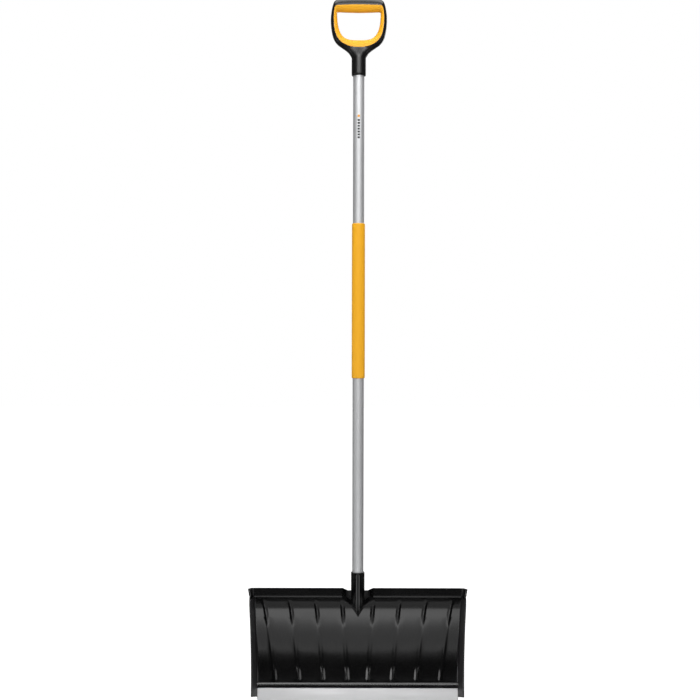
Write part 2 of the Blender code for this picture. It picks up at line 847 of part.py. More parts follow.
def loop_point(points, turn):
    """A point of a closed, symmetric loop, for a turn from 0 to 1 that starts at the top middle."""
    last = len(points) - 1
    place = turn * 2 * last
    if place <= last:
        return spline_point(points, place)
    point = spline_point(points, 2 * last - place)
    return Vector((-point.x, point.y))


def ring_depth(turn):
    """Half the handle ring's depth, front to back."""
    from_top = min(turn, 1 - turn) * 2
    share = smooth_step(0.15, 0.40, from_top)
    return RING_BAR_HALF_DEPTH + (RING_ARM_HALF_DEPTH - RING_BAR_HALF_DEPTH) * share


def half_ring(name, edge_loop, seam_offset, where, finish):
    """The outer or inner half of the ring: half ovals from the seam to an edge loop."""
    arc_steps = 10
    rings = []
    for k in range(RING_POINTS):
        turn = k / RING_POINTS
        seam = loop_point(SEAM_LOOP, turn)
        edge = loop_point(edge_loop, turn)
        across_seam = edge - seam
        start = seam + across_seam.normalized() * seam_offset
        reach = edge - start
        depth = ring_depth(turn)
        ring = []
        for step in range(arc_steps + 1):
            angle = math.radians(-90 + 180 * step / arc_steps)
            point = start + reach * math.cos(angle)
            ring.append((point.x, SHAFT_Y + depth * math.sin(angle), point.y))
        rings.append(ring)
    return loft(name, rings, where, finish, capped=False)


NECK_SECTIONS = (
    (COLLAR_LOW_Z, COLLAR_RADIUS - 0.0015, COLLAR_RADIUS - 0.0015),
    (COLLAR_LOW_Z + 0.0004, COLLAR_RADIUS - 0.0005, COLLAR_RADIUS - 0.0005),
    (COLLAR_LOW_Z + 0.0015, COLLAR_RADIUS, COLLAR_RADIUS),
    (COLLAR_HIGH_Z, COLLAR_RADIUS, COLLAR_RADIUS),
    (1.4645, 0.0180, 0.0165),
    (1.4668, 0.0196, 0.0162),
    (1.4691, 0.0208, 0.0158),
    (1.4714, 0.0222, 0.0153),
    (1.4737, 0.0242, 0.0148),
    (1.4760, 0.0266, 0.0143),
    (1.4783, 0.0293, 0.0138),
    (1.4806, 0.0324, 0.0133),
    (1.4829, 0.0357, 0.0129),
    (1.4852, 0.0392, 0.0125),
    (1.4875, 0.0427, 0.0122),
    (1.4898, 0.0461, 0.0119),
    (1.4924, 0.0492, 0.0116),
    (1.4950, 0.0518, 0.0112),
    (1.4980, 0.0541, 0.0106),
    (1.5010, 0.0557, 0.0098),
)


def neck(where):
    """The solid from the round collar up to the ring's lower bow."""
    rings = []
    for z, half_width, half_depth in NECK_SECTIONS:
        flatness = NECK_FLATNESS * smooth_step(COLLAR_HIGH_Z, 1.4875, z)
        ring = []
        for step in range(ROUND_STEPS):
            angle = 2 * math.pi * step / ROUND_STEPS
            depth = half_depth * math.copysign(abs(math.sin(angle)) ** (1 - flatness), math.sin(angle))
            ring.append((half_width * math.cos(angle), SHAFT_Y + depth, z))
        rings.append(ring)
    return loft("neck", rings, where)


def neck_trim(where):
    """The part of the neck that would stand inside the ring."""
    rings = []
    for y in (SHAFT_Y - 0.03, SHAFT_Y + 0.03):
        ring = []
        for k in range(RING_POINTS):
            turn = k / RING_POINTS
            seam = loop_point(SEAM_LOOP, turn)
            outwards = (loop_point(OUTER_LOOP, turn) - seam).normalized() * NECK_BURIAL
            ring.append((seam.x + outwards.x, y, seam.y + outwards.y))
        rings.append(ring)
    return loft("neck_trim", rings, where)


def build_handle(parts, helpers, frame_finish, grip_finish):
    frame = half_ring("handle_frame", OUTER_LOOP, SEAM_GAP, parts, frame_finish)
    stem = neck(helpers)
    cut(stem, neck_trim(helpers))
    join(frame, stem)
    cut(frame, tube_bore("handle_bore", COLLAR_LOW_Z - 0.01, COLLAR_BORE_HIGH_Z, helpers))
    shade_round(frame)
    grip = half_ring("handle_grip", OPENING_LOOP, SEAM_GAP, parts, grip_finish)
    shade_round(grip)
    return frame


def main():
    for old in list(bpy.data.objects):
        bpy.data.objects.remove(old)
    parts = collection("snow_pusher")
    helpers = collection("helpers")

    black = material("black_plastic", (0.012, 0.012, 0.013), 0.38)
    soft_black = material("black_plug_plastic", (0.02, 0.02, 0.02), 0.6)
    amber = material("amber_grip", (0.95, 0.42, 0.03), 0.5)
    anodised = material("anodised_aluminium", (0.62, 0.63, 0.64), 0.33, 1.0)
    bare = material("bare_aluminium", (0.80, 0.80, 0.81), 0.30, 1.0)
    zinc = material("zinc_steel", (0.55, 0.56, 0.58), 0.35, 1.0)

    edge_holes = edge_screw_holes(helpers)
    blade = build_blade(parts, helpers, edge_holes, black)
    edge = build_wear_edge(parts, helpers, bare)
    cut(edge, edge_holes)
    edge_screws(parts, zinc)

    tube = build_tube(parts, anodised)
    build_end_plug(parts, soft_black)
    build_mid_grip(parts, amber)
    frame = build_handle(parts, helpers, black, amber)

    places = [(f"socket_screw_{k}", z, SOCKET_RADIUS, blade) for k, z in enumerate(SOCKET_SCREW_HEIGHTS, 1)]
    places.append(("handle_screw", HANDLE_SCREW_Z, COLLAR_RADIUS, frame))
    for name, z, wall_radius, holder in places:
        seat = rear_frame(z, wall_radius - 0.0010)
        cut(holder, seat_cutter(name + "_seat", seat, helpers))
        hole = tube_screw_hole(name + "_hole", seat, helpers)
        cut(holder, hole)
        cut(tube, hole)
        tube_screw(name, seat, parts, zinc, zinc)


main()
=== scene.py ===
"""Looks of a snow pusher: smooth meshes, materials, floor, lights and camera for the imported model.

Metres, +Z up along the shaft, the blade's front facing -Y. "Forward" is a distance in front of the
shaft's axis.
"""

import math

import bmesh
import bpy
from mathutils import Matrix, Vector


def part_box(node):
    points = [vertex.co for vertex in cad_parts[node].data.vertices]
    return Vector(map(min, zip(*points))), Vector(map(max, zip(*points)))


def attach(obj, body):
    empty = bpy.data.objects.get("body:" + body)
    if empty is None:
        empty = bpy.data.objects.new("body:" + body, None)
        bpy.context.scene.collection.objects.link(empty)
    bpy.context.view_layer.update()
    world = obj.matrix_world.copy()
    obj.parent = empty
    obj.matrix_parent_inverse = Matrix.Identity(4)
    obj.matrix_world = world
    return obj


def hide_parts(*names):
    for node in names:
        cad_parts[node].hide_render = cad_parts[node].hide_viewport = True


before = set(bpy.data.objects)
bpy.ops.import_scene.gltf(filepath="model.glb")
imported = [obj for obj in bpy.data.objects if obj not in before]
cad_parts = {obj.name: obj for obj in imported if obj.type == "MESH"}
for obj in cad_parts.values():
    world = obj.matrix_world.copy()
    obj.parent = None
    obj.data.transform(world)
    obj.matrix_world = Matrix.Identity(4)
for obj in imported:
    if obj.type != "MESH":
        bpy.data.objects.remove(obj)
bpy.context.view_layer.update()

tube_low, tube_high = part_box("shaft_tube")
grip_low, grip_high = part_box("mid_grip")
collar_low, handle_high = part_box("handle_frame")
blade_low, blade_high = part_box("blade")
edge_low, edge_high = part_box("wear_edge")

SHAFT_Y = (tube_low.y + tube_high.y) / 2
TUBE_RADIUS = (tube_high.x - tube_low.x) / 2
TUBE_WALL = 0.0015
GAP = 0.0003

# Blade sheet in side view
SHEET_THICKNESS = 0.003
SHEET_FORWARD = 0.017
SHEET_LOW_Z = 0.008
FOOT_MIDDLE_Z = 0.025
FOOT_TOP_Z = 0.042
ARC_CENTRE_Z = 0.138
ARC_RADIUS = 0.285
CURL_LOW_Z = 0.200
BAND_LOW_Z = 0.233
BAND_HIGH_Z = blade_high.z - 0.0274
BAND_FORWARD = 0.047
BAND_LEAN = 0.15
EDGE_ROUNDING = 0.0011

# Blade in front view
CORNER_LOW_X = 0.2272
CORNER_SLOPE = 0.0458
CORNER_FILLET = 0.0045
CHEEK_SPLAY = 0.14
CHEEK_DEPTH_AT_GROUND = 0.060
CHEEK_DEPTH_SLOPE = 0.11
CHEEK_RIM_LOW_Z = 0.024
CHEEK_RIM_HIGH_Z = 0.258
CAP_THICKNESS = 0.0007

# Ribs, which are lowest round the sunk height and full beyond the second reach from it
RIB_COUNT = 8
RIB_WIDTH = 0.011
RIB_HEIGHT = 0.0035
RIB_MIDDLE_SHARE = 0.25
RIB_FIRST_LOW_X = 0.0234
RIB_PITCH_LOW = 0.05467
RIB_FIRST_HIGH_X = 0.0353
RIB_PITCH_HIGH = 0.0591
RIB_HIGH_Z = 0.2165
RIB_FADE = 0.012
RIB_FOOT = 0.0015
RIB_SUNK_Z = 0.122
RIB_SUNK_REACH = (0.035, 0.070)
RIB_CREST_SOFTNESS = 0.15

# Socket and notch
SOCKET_RADIUS = 0.0156
SOCKET_LOW_Z = 0.096
SOCKET_HIGH_Z = blade_high.z
BORE_BELOW_TUBE = 0.0031
SOCKET_TAPER_HEIGHT = 0.012
SOCKET_NOSE_HEIGHT = 0.003
SOCKET_NOSE_RADIUS = SOCKET_RADIUS * 0.7
SOCKET_KEEL_WIDTH = 0.007
SOCKET_KEEL_HEIGHT = 0.0007
NOTCH_TIP_Z = 0.196
NOTCH_SHOULDER_Z = 0.2275
NOTCH_FRONT_HALF = 0.035
NOTCH_BACK_HALF = 0.023
NOTCH_KNEE_FORWARD = 0.022
NOTCH_BACK_FORWARD = 0.002
NOTCH_KNEE_TOP_Z = 0.2485
NOTCH_BACK_TOP_Z = 0.2370
NOTCH_WALL = 0.003
BEAK_TIP_Z = 0.1806
BEAK_HALF = 0.018
BEAK_DEPTH = 0.009
WEB_HEIGHTS = (0.118, 0.168)
WEB_REACH = 0.100
WEB_THICKNESS = 0.003
WEB_ROOT_X = 0.014
WEB_ROOT_BACK = 0.004
WEB_TIP_DEPTH = 0.003

# Lip and wear edge. The ledge is (inset, drop) from the lip's upper front corner
LIP_TOP_Z = 0.0383
LIP_LOW_Z = 0.0276
LIP_PROUD = 0.0049
LIP_BURIED = 0.0015
LIP_LEDGE = ((0.0013, 0.0), (0.0009, 0.0002), (0.0001, 0.0016), (0.0, 0.0019))
EDGE_THICKNESS = 0.0025
EDGE_CORNER_RADIUS = 0.004

# Screws
EDGE_SCREW_HEAD = (0.0035, 0.0022)
TUBE_SCREW_HEAD = (0.0042, 0.0026)
WASHER_RADIUS = 0.0054
WASHER_THICKNESS = 0.0010
PAD_RADIUS = 0.0068
PAD_DEPTH = 0.0010

# D-handle: three loops of (x, z) in front view, and (rise, half width, half depth) up the neck
COLLAR_RADIUS = 0.0167
COLLAR_HIGH_Z = 1.4620
COLLAR_BORE_HIGH_Z = 1.4700
RING_BAR_HALF_DEPTH = 0.0150
RING_ARM_HALF_DEPTH = 0.0125
RING_TURNS = [step / 180 for step in range(180)]
RING_BURIED = 0.004
SEAM_GAP = 0.00025
SMOOTH_VOXEL = 0.0009
NECK_FLATNESS = 0.45
NECK_FLAT_Z = 1.4875
OUTER_LOOP = (
    (0.0000, 1.5995),
    (0.0300, 1.5987),
    (0.0520, 1.5950),
    (0.0595, 1.5850),
    (0.0640, 1.5620),
    (0.0647, 1.5430),
    (0.0620, 1.5190),
    (0.0560, 1.5010),
    (0.0440, 1.4895),
    (0.0240, 1.4805),
    (0.0000, 1.4775),
)
SEAM_LOOP = (
    (0.0000, 1.5805),
    (0.0300, 1.5800),
    (0.0495, 1.5790),
    (0.0552, 1.5740),
    (0.0572, 1.5600),
    (0.0573, 1.5420),
    (0.0545, 1.5210),
    (0.0485, 1.5060),
    (0.0370, 1.4940),
    (0.0200, 1.4865),
    (0.0000, 1.4843),
)
OPENING_LOOP = (
    (0.0000, 1.5662),
    (0.0300, 1.5670),
    (0.0470, 1.5675),
    (0.0498, 1.5640),
    (0.0495, 1.5520),
    (0.0480, 1.5380),
    (0.0440, 1.5230),
    (0.0370, 1.5120),
    (0.0280, 1.5058),
    (0.0150, 1.5030),
    (0.0000, 1.5027),
)
NECK_SECTIONS = (
    (0.0000, 0.0152, 0.0152),
    (0.0004, 0.0162, 0.0162),
    (0.0015, 0.0167, 0.0167),
    (0.0418, 0.0167, 0.0167),
    (0.0443, 0.0180, 0.0165),
    (0.0466, 0.0196, 0.0162),
    (0.0489, 0.0208, 0.0158),
    (0.0512, 0.0222, 0.0153),
    (0.0535, 0.0242, 0.0148),
    (0.0558, 0.0266, 0.0143),
    (0.0581, 0.0293, 0.0138),
    (0.0604, 0.0324, 0.0133),
    (0.0627, 0.0357, 0.0129),
    (0.0650, 0.0392, 0.0125),
    (0.0673, 0.0427, 0.0122),
    (0.0696, 0.0461, 0.0119),
    (0.0722, 0.0492, 0.0116),
    (0.0748, 0.0518, 0.0112),
    (0.0778, 0.0541, 0.0106),
    (0.0808, 0.0557, 0.0098),
)

# Camera, level and straight in front
CAMERA_DISTANCE = 2.415
CAMERA_HEIGHT = 0.7905
CAMERA_LENS = 54.0
CAMERA_SENSOR = 36.0
CAMERA_SHIFT_X = -0.0118
CAMERA_ROLL = -0.12

# Finishes: pairs of colours are mixed by a noise
BLADE_BLACK = (0.0025, 0.0025, 0.0027)
# Colour of the scuffs near the foot, and of the cheeks, which are painted lighter as painted light
SCUFF_AND_LIT_CHEEK_BLACK = (0.022, 0.022, 0.023)
# Painted highlight along the keel's edges
KEEL_HIGHLIGHT_GREY = (0.11, 0.11, 0.112)
HANDLE_BLACKS = (0.0035, 0.0033, 0.0035), (0.0055, 0.0050, 0.0052)
AMBERS = (0.95, 0.45, 0.014), (0.96, 0.47, 0.018)
ANODISED_GREYS = (0.72, 0.73, 0.74), (0.80, 0.80, 0.81)
BARE_GREYS = (0.90, 0.90, 0.91), (0.80, 0.80, 0.81)
ZINC_GREYS = (0.50, 0.51, 0.54), (0.66, 0.66, 0.65)
INK_BLACK = (0.02, 0.02, 0.022)
INK_AMBER = (0.90, 0.40, 0.04)
PLASTIC_GRAIN = 0.00002
FINE_GRAIN = 0.00001
SCUFF_SHARE = 0.35
SCUFF_FADE_Z = (0.03, 0.12)
SCUFF_ROUGHER = 0.3
CHEEK_ROUGHER = 0.3
SOCKET_ROUGHER = 0.5
LIP_SMOOTHER = 0.06

# Printed mark: low end, high end, pitch and length of its bars
DARK_BARS = (1.2750, 1.3190, 0.0066, 0.0042)
AMBER_BAR = (1.3240, 1.3330, 0.0100, 0.0050)
BAR_HALF_WIDTH = 0.0026

# Floor, which glows more further out, and how pale the room is in front and behind
FLOOR_Z = -0.0008
FLOOR_REACH = 12.0
FLOOR_GLOW = 0.85
FLOOR_GLOW_RADII = (1.0, 4.0)
FLOOR_GLOW_TO_OBJECT = 0.15
ROOM_FRONT = 0.015
ROOM_BACK = 0.12
ROOM_TURNS = (-0.3, 0.6)

# Card that the gloss reflects. Each zone has four places along Y: it starts, is full, ends, is gone
CARD_Z = -0.0004
CARD_LENGTH = 3.5
CARD_SHEET_WIDTH = 2.0
CARD_HALF_WIDTH = 0.30
CARD_SPREAD = 0.12
CARD_GLOW = 0.8
CARD_STRIPE = (-0.315, -0.265, -0.215, -0.195)
CARD_STRIPE_GLOW = 2.1
CARD_NEAR = (-0.19, -0.17, 0.05, 0.10)
CARD_NEAR_GLOW = -0.4 * CARD_GLOW
CARD_FAR = (-3.60, -3.55, -2.00, -0.90)
CARD_FAR_GLOW = 1.0
CARD_SOFT_EDGE = (-0.02, 0.04)

# Soft lights: name, position, aim, size and watts
SOFTBOXES = (
    ("key", (0.0, -2.5, 2.5), (0.0, 0.0, 0.7), (2.2, 1.2), 62.0),
    ("overhead", (0.0, -0.1, 2.9), (0.0, -0.1, 0.0), (2.4, 1.4), 40.0),
    ("left", (-2.2, -0.8, 0.55), (0.0, 0.0, 0.1), (1.3, 0.4), 7.0),
    ("right", (2.2, -0.8, 0.55), (0.0, 0.0, 0.1), (1.3, 0.4), 4.0),
    ("back", (1.2, 2.4, 1.8), (0.0, 0.0, 0.7), (1.2, 1.2), 12.0),
)

ROUND_STEPS = 96
SCREW_STEPS = 32
FOOT_ANGLE = math.asin((ARC_CENTRE_Z - FOOT_TOP_Z) / ARC_RADIUS)
FOOT_COS = math.cos(FOOT_ANGLE)
FOOT_SIN = math.sin(FOOT_ANGLE)


# Mesh helpers


def link(obj):
    bpy.context.scene.collection.objects.link(obj)
    return obj


def mesh_object(name, builder):
    """An object from a bmesh, which is used up."""
    mesh = bpy.data.meshes.new(name)
    builder.to_mesh(mesh)
    builder.free()
    return link(bpy.data.objects.new(name, mesh))


def add_mesh(name, builder):
    """An object from a bmesh, with its faces turned outwards."""
    bmesh.ops.recalc_face_normals(builder, faces=builder.faces)
    return mesh_object(name, builder)


def loft(name, rings, capped=True):
    """A solid skinned over rings with equal numbers of points. A closed loop of rings has no caps."""
    builder = bmesh.new()
    rows = []
    for ring in rings:
        rows.append([builder.verts.new(point) for point in ring])
    count = len(rows[0])
    spans = len(rows) - 1 if capped else len(rows)
    for row in range(spans):
        low = rows[row]
        high = rows[(row + 1) % len(rows)]
        for k in range(count):
            after = (k + 1) % count
            builder.faces.new((low[k], low[after], high[after], high[k]))
    if capped:
        builder.faces.new(rows[0])
        builder.faces.new(rows[-1])
    return add_mesh(name, builder)


def turned(name, profile, steps=ROUND_STEPS):
    """A turned solid about Z through (radius, height) points that run down its outer side."""
    builder = bmesh.new()
    closed = profile[0][0] > 0.0
    rows = []
    for radius, height in profile:
        if radius == 0.0:
            rows.append([builder.verts.new((0.0, 0.0, height))])
            continue
        ring = []
        for k in range(steps):
            angle = 2 * math.pi * k / steps
            ring.append(builder.verts.new((radius * math.cos(angle), radius * math.sin(angle), height)))
        rows.append(ring)
    pairs = list(zip(rows, rows[1:]))
    if closed:
        pairs.append((rows[-1], rows[0]))
    for upper, lower in pairs:
        for k in range(steps):
            after = (k + 1) % steps
            corners = [upper[k % len(upper)], upper[after % len(upper)]]
            corners += [lower[after % len(lower)], lower[k % len(lower)]]
            builder.faces.new(list(dict.fromkeys(corners)))
    return add_mesh(name, builder)


def box(name, low, high):
    builder = bmesh.new()
    size = Vector(high) - Vector(low)
    middle = (Vector(high) + Vector(low)) / 2
    placing = Matrix.Translation(middle) @ Matrix.Diagonal((*size, 1.0))
    bmesh.ops.create_cube(builder, size=1.0, matrix=placing)
    return add_mesh(name, builder)


def cylinder(name, radius, depth, matrix, steps=ROUND_STEPS):
    builder = bmesh.new()
    bmesh.ops.create_cone(
        builder, cap_ends=True, segments=steps, radius1=radius, radius2=radius, depth=depth, matrix=matrix
    )
    return add_mesh(name, builder)


def place(obj, matrix):
    obj.data.transform(matrix)
    return obj


def on_shaft(obj):
    """Moves a solid from the Z axis to the shaft's axis."""
    return place(obj, Matrix.Translation((0.0, SHAFT_Y, 0.0)))


def bake(obj):
    """Makes an object's modifiers part of its mesh."""
    graph = bpy.context.evaluated_depsgraph_get()
    mesh = bpy.data.meshes.new_from_object(obj.evaluated_get(graph))
    obj.modifiers.clear()
    obj.data = mesh
    return obj


def merge(name, objects):
    """One object of several separate meshes."""
    builder = bmesh.new()
    for obj in objects:
        builder.from_mesh(obj.data)
        bpy.data.objects.remove(obj)
    return add_mesh(name, builder)


def combine(target, operation, other):
    """Joins (UNION) or cuts away (DIFFERENCE) another solid, which is used up."""
    modifier = target.modifiers.new("combine", "BOOLEAN")
    modifier.operation = operation
    modifier.object = other
    modifier.solver = "EXACT"
    bake(target)
    bpy.data.objects.remove(other)
    return target


def shade(obj, degrees=30.0):
    obj.data.shade_smooth()
    obj.data.set_sharp_from_angle(angle=math.radians(degrees))
    return obj


def smooth_step(low, high, value):
    share = min(max((value - low) / (high - low), 0.0), 1.0)
    return share * share * (3 - 2 * share)


def arc(middle_x, middle_y, radius, first, last, steps):
    """Points of an arc from a first to a last angle in degrees."""
    points = []
    for step in range(steps + 1):
        angle = math.radians(first + (last - first) * step / steps)
        points.append((middle_x + radius * math.cos(angle), middle_y + radius * math.sin(angle)))
    return points


# The blade's sheet


def arc_forward(z):
    """The sheet's front face without its curl: the straight foot and the wide arc."""
    if z >= FOOT_TOP_Z:
        rise = math.sqrt(ARC_RADIUS**2 - (z - ARC_CENTRE_Z) ** 2)
        return SHEET_FORWARD + ARC_RADIUS - rise
    return arc_forward(FOOT_TOP_Z) + (FOOT_TOP_Z - z) * math.tan(FOOT_ANGLE)


def curl_shape():
    """(radius, start angle, end angle) of the curl between the wide arc and the band."""
    start = math.asin((CURL_LOW_Z - ARC_CENTRE_Z) / ARC_RADIUS)
    climb = BAND_LOW_Z - CURL_LOW_Z
    reach = BAND_FORWARD - arc_forward(CURL_LOW_Z)
    end = 2 * math.atan2(reach, climb) - start
    return climb / (math.sin(end) - math.sin(start)), start, end


def sheet_forward(z):
    """The sheet's front face at a height."""
    if z <= CURL_LOW_Z:
        return arc_forward(z)
    if z >= BAND_LOW_Z:
        return BAND_FORWARD - BAND_LEAN * (z - BAND_LOW_Z)
    radius, start, _ = curl_shape()
    angle = math.asin(math.sin(start) + (z - CURL_LOW_Z) / radius)
    return arc_forward(CURL_LOW_Z) + radius * (math.cos(start) - math.cos(angle))


def sheet_heights(arc_rows=48, curl_rows=20, band_rows=4):
    """Heights of the sheet's rows of points: even steps in angle along the arc and the curl."""
    heights = [SHEET_LOW_Z, FOOT_MIDDLE_Z, FOOT_TOP_Z - RIB_FOOT]
    arc_end = math.asin((CURL_LOW_Z - ARC_CENTRE_Z) / ARC_RADIUS)
    for row in range(arc_rows + 1):
        angle = -FOOT_ANGLE + (arc_end + FOOT_ANGLE) * row / arc_rows
        heights.append(ARC_CENTRE_Z + ARC_RADIUS * math.sin(angle))
    radius, start, end = curl_shape()
    for row in range(1, curl_rows + 1):
        angle = start + (end - start) * row / curl_rows
        heights.append(CURL_LOW_Z + radius * (math.sin(angle) - math.sin(start)))
    for row in range(1, band_rows + 1):
        heights.append(BAND_LOW_Z + (BAND_HIGH_Z - BAND_LOW_Z) * row / band_rows)
    return heights


def rib_height(z):
    """Ribs stand tall at the sheet's top and foot, sink in between and end in the lip."""
    if z < FOOT_TOP_Z:
        return 0.0
    tall = smooth_step(*RIB_SUNK_REACH, abs(z - RIB_SUNK_Z))
    share = RIB_MIDDLE_SHARE + (1 - RIB_MIDDLE_SHARE) * tall
    fade = 1 - smooth_step(RIB_HIGH_Z - RIB_FADE, RIB_HIGH_Z + RIB_FADE, z)
    return RIB_HEIGHT * share * fade


def rib_middle(index, z):
    low = RIB_FIRST_LOW_X + RIB_PITCH_LOW * index
    high = RIB_FIRST_HIGH_X + RIB_PITCH_HIGH * index
    return low + (high - low) * (z - FOOT_TOP_Z) / (RIB_HIGH_Z - FOOT_TOP_Z)


def rib_profile(offset):
    """A rib's height across its width, from -1 to 1: straight flanks and a rounded crest."""
    soft = RIB_CREST_SOFTNESS
    return 1 - (math.hypot(offset, soft) - soft) / (math.hypot(1.0, soft) - soft)


def corner_x(z):
    return CORNER_LOW_X + CORNER_SLOPE * (z - FOOT_TOP_Z)


def sheet_normal(z):
    """(forward, up) of the sheet's front face."""
    step = 0.0005
    slope = (sheet_forward(z + step) - sheet_forward(z - step)) / (2 * step)
    length = math.hypot(1.0, slope)
    return 1.0 / length, -slope / length


def rim_z(z):
    """The height on a cheek's rim that belongs to a height on the sheet."""
    share = (z - SHEET_LOW_Z) / (BAND_HIGH_Z - SHEET_LOW_Z)
    return CHEEK_RIM_LOW_Z + share * (CHEEK_RIM_HIGH_Z - CHEEK_RIM_LOW_Z)


def cheek_point(z, share):
    """A point of a cheek's inner face, from the sheet's corner (share 0) to the rim (share 1)."""
    high = rim_z(z)
    rim_forward = arc_forward(high) + CHEEK_DEPTH_AT_GROUND - CHEEK_DEPTH_SLOPE * high
    corner_forward = sheet_forward(z)
    forward = corner_forward + (rim_forward - corner_forward) * share
    x = corner_x(z) + (forward - corner_forward) * CHEEK_SPLAY
    return Vector((x, SHAFT_Y - forward, z + (high - z) * share))


def sheet_columns(z, across_rib=12, between_ribs=4):
    """(x, share of the rib's height) of the points across the right half of the sheet."""
    columns = []
    edge = 0.0
    for index in range(RIB_COUNT // 2):
        start = rib_middle(index, z) - RIB_WIDTH / 2
        for step in range(between_ribs):
            columns.append((edge + (start - edge) * step / between_ribs, 0.0))
        for step in range(across_rib):
            share = step / across_rib
            columns.append((start + RIB_WIDTH * share, rib_profile(2 * share - 1)))
        edge = start + RIB_WIDTH
    last = corner_x(z) - CORNER_FILLET
    for step in range(between_ribs):
        columns.append((edge + (last - edge) * step / between_ribs, 0.0))
    return columns


def blade_row(z, fillet_steps=6, cheek_steps=8):
    """Points of the right half of the blade's front at a height, from the middle to the cheek's rim."""
    toward, up = sheet_normal(z)
    forward = sheet_forward(z)
    row = []
    for x, share in sheet_columns(z):
        raised = rib_height(z) * share
        row.append(Vector((x, SHAFT_Y - forward - toward * raised, z + up * raised)))
    corner = cheek_point(z, 0.0)
    rim = cheek_point(z, 1.0)
    start = Vector((corner.x - CORNER_FILLET, corner.y, z))
    end = corner + (rim - corner).normalized() * CORNER_FILLET
    for step in range(fillet_steps + 1):
        share = step / fillet_steps
        row.append(start * (1 - share) ** 2 + corner * (2 * share * (1 - share)) + end * share**2)
    for step in range(1, cheek_steps + 1):
        row.append(end + (rim - end) * (step / cheek_steps))
    return row


def blade_shell():
    """Sheet, ribs, band and cheeks as one surface of even thickness with rounded edges."""
    builder = bmesh.new()
    rows = []
    for z in sheet_heights():
        rows.append([builder.verts.new(point) for point in blade_row(z)])
    for low, high in zip(rows, rows[1:]):
        for k in range(len(low) - 1):
            builder.faces.new((low[k], low[k + 1], high[k + 1], high[k]))
    made = mesh_object("blade_shell", builder)
    mirror = made.modifiers.new("halves", "MIRROR")
    mirror.use_axis = (True, False, False)
    mirror.merge_threshold = 0.00001
    shell = made.modifiers.new("thickness", "SOLIDIFY")
    shell.thickness = SHEET_THICKNESS
    shell.offset = -1.0
    shell.use_even_offset = True
    rounding = made.modifiers.new("rounding", "BEVEL")
    rounding.width = EDGE_ROUNDING
    rounding.segments = 3
    rounding.limit_method = "ANGLE"
    rounding.angle_limit = math.radians(60)
    return bake(made)


# What is moulded onto the sheet


def across(outline, half_width):
    """Two rings of an outline in the (forward, z) plane, at both ends of a bar along X."""
    return [[(side * half_width, SHAFT_Y - forward, z) for forward, z in outline] for side in (-1, 1)]


def lip():
    """The bar that covers the wear edge's top, with a bevelled ledge."""
    proud = LIP_PROUD / FOOT_COS
    top = LIP_TOP_Z
    low = LIP_LOW_Z
    outline = [(arc_forward(top) - LIP_BURIED, top + 0.0004)]
    for inset, drop in LIP_LEDGE:
        outline.append((arc_forward(top - drop) + proud - inset, top - drop))
    outline.append((arc_forward(low) + proud, low))
    outline.append((arc_forward(low) - LIP_BURIED, low - 0.0010))
    return loft("lip", across(outline, corner_x(FOOT_TOP_Z) + 0.0005))


def band_caps():
    """The flanges that carry the band round both cheeks, rounded at their upper corner."""
    caps = []
    buried = SHEET_THICKNESS * 0.4
    proud = SHEET_THICKNESS + CAP_THICKNESS
    set_back = Vector((0.0, 0.0006, 0.0))
    for side in (-1, 1):
        rows = []
        corner = arc(0.0, 0.0, CAP_THICKNESS, 0, 90, 5)
        levels = [(proud, BAND_LOW_Z + 0.001)]
        for inset, rise in corner:
            levels.append((proud - CAP_THICKNESS + inset, BAND_HIGH_Z - CAP_THICKNESS + rise))
        for reach, z in levels:
            inner = cheek_point(z, 0.0)
            outer = cheek_point(z, 1.0) + set_back
            corners = (inner, buried), (outer, buried), (outer, reach), (inner, reach)
            rows.append([(side * (point.x + offset), point.y, point.z) for point, offset in corners])
        caps.append(loft("cap", rows))
    return merge("band_caps", caps)


def notch_outline(half, wall, top, forward):
    """A V-bottomed outline at a distance in front of the shaft, grown by a wall thickness."""
    slope = (NOTCH_SHOULDER_Z - NOTCH_TIP_Z) / NOTCH_FRONT_HALF
    tip = NOTCH_SHOULDER_Z - slope * half - wall * math.hypot(1.0, slope)
    wide = half + wall
    shoulder = tip + slope * wide
    points = ((-wide, top), (-wide, shoulder), (0.0, tip), (wide, shoulder), (wide, top))
    return [(x, SHAFT_Y - forward, z) for x, z in points]


def notch_half(forward):
    """Half the notch's width, which narrows from a knee in its walls towards its back wall."""
    share = min((forward - NOTCH_BACK_FORWARD) / (NOTCH_KNEE_FORWARD - NOTCH_BACK_FORWARD), 1.0)
    return NOTCH_BACK_HALF + (NOTCH_FRONT_HALF - NOTCH_BACK_HALF) * share


def front_trim():
    """Everything in front of the middle of the sheet's thickness."""
    half = SHEET_THICKNESS / 2
    ahead = 0.100
    low = 0.150
    high = BAND_HIGH_Z + 0.01
    outline = [(ahead, high), (ahead, low), (sheet_forward(low) - half, low)]
    for z in sheet_heights():
        if z > low:
            outline.append((sheet_forward(z) - half, z))
    outline.append((sheet_forward(high) - half, high))
    return loft("front_trim", across(outline, 0.06))


def notch_backing():
    """The solids behind the sheet from which the notch and the groove below it are hollowed."""
    front = BAND_FORWARD - SHEET_THICKNESS / 2
    back = NOTCH_BACK_FORWARD - NOTCH_WALL
    knee = NOTCH_KNEE_FORWARD
    rings = (
        notch_outline(notch_half(front), NOTCH_WALL, BAND_HIGH_Z, front),
        notch_outline(notch_half(knee), NOTCH_WALL, NOTCH_KNEE_TOP_Z, knee),
        notch_outline(notch_half(back), NOTCH_WALL, NOTCH_BACK_TOP_Z, back),
    )
    block = loft("notch_block", rings)
    low = (-BEAK_HALF, SHAFT_Y - BAND_FORWARD, BEAK_TIP_Z - 0.003)
    high = (BEAK_HALF, SHAFT_Y - 0.010, NOTCH_TIP_Z + 0.007)
    combine(block, "UNION", box("beak_pad", low, high))
    return combine(block, "DIFFERENCE", front_trim())


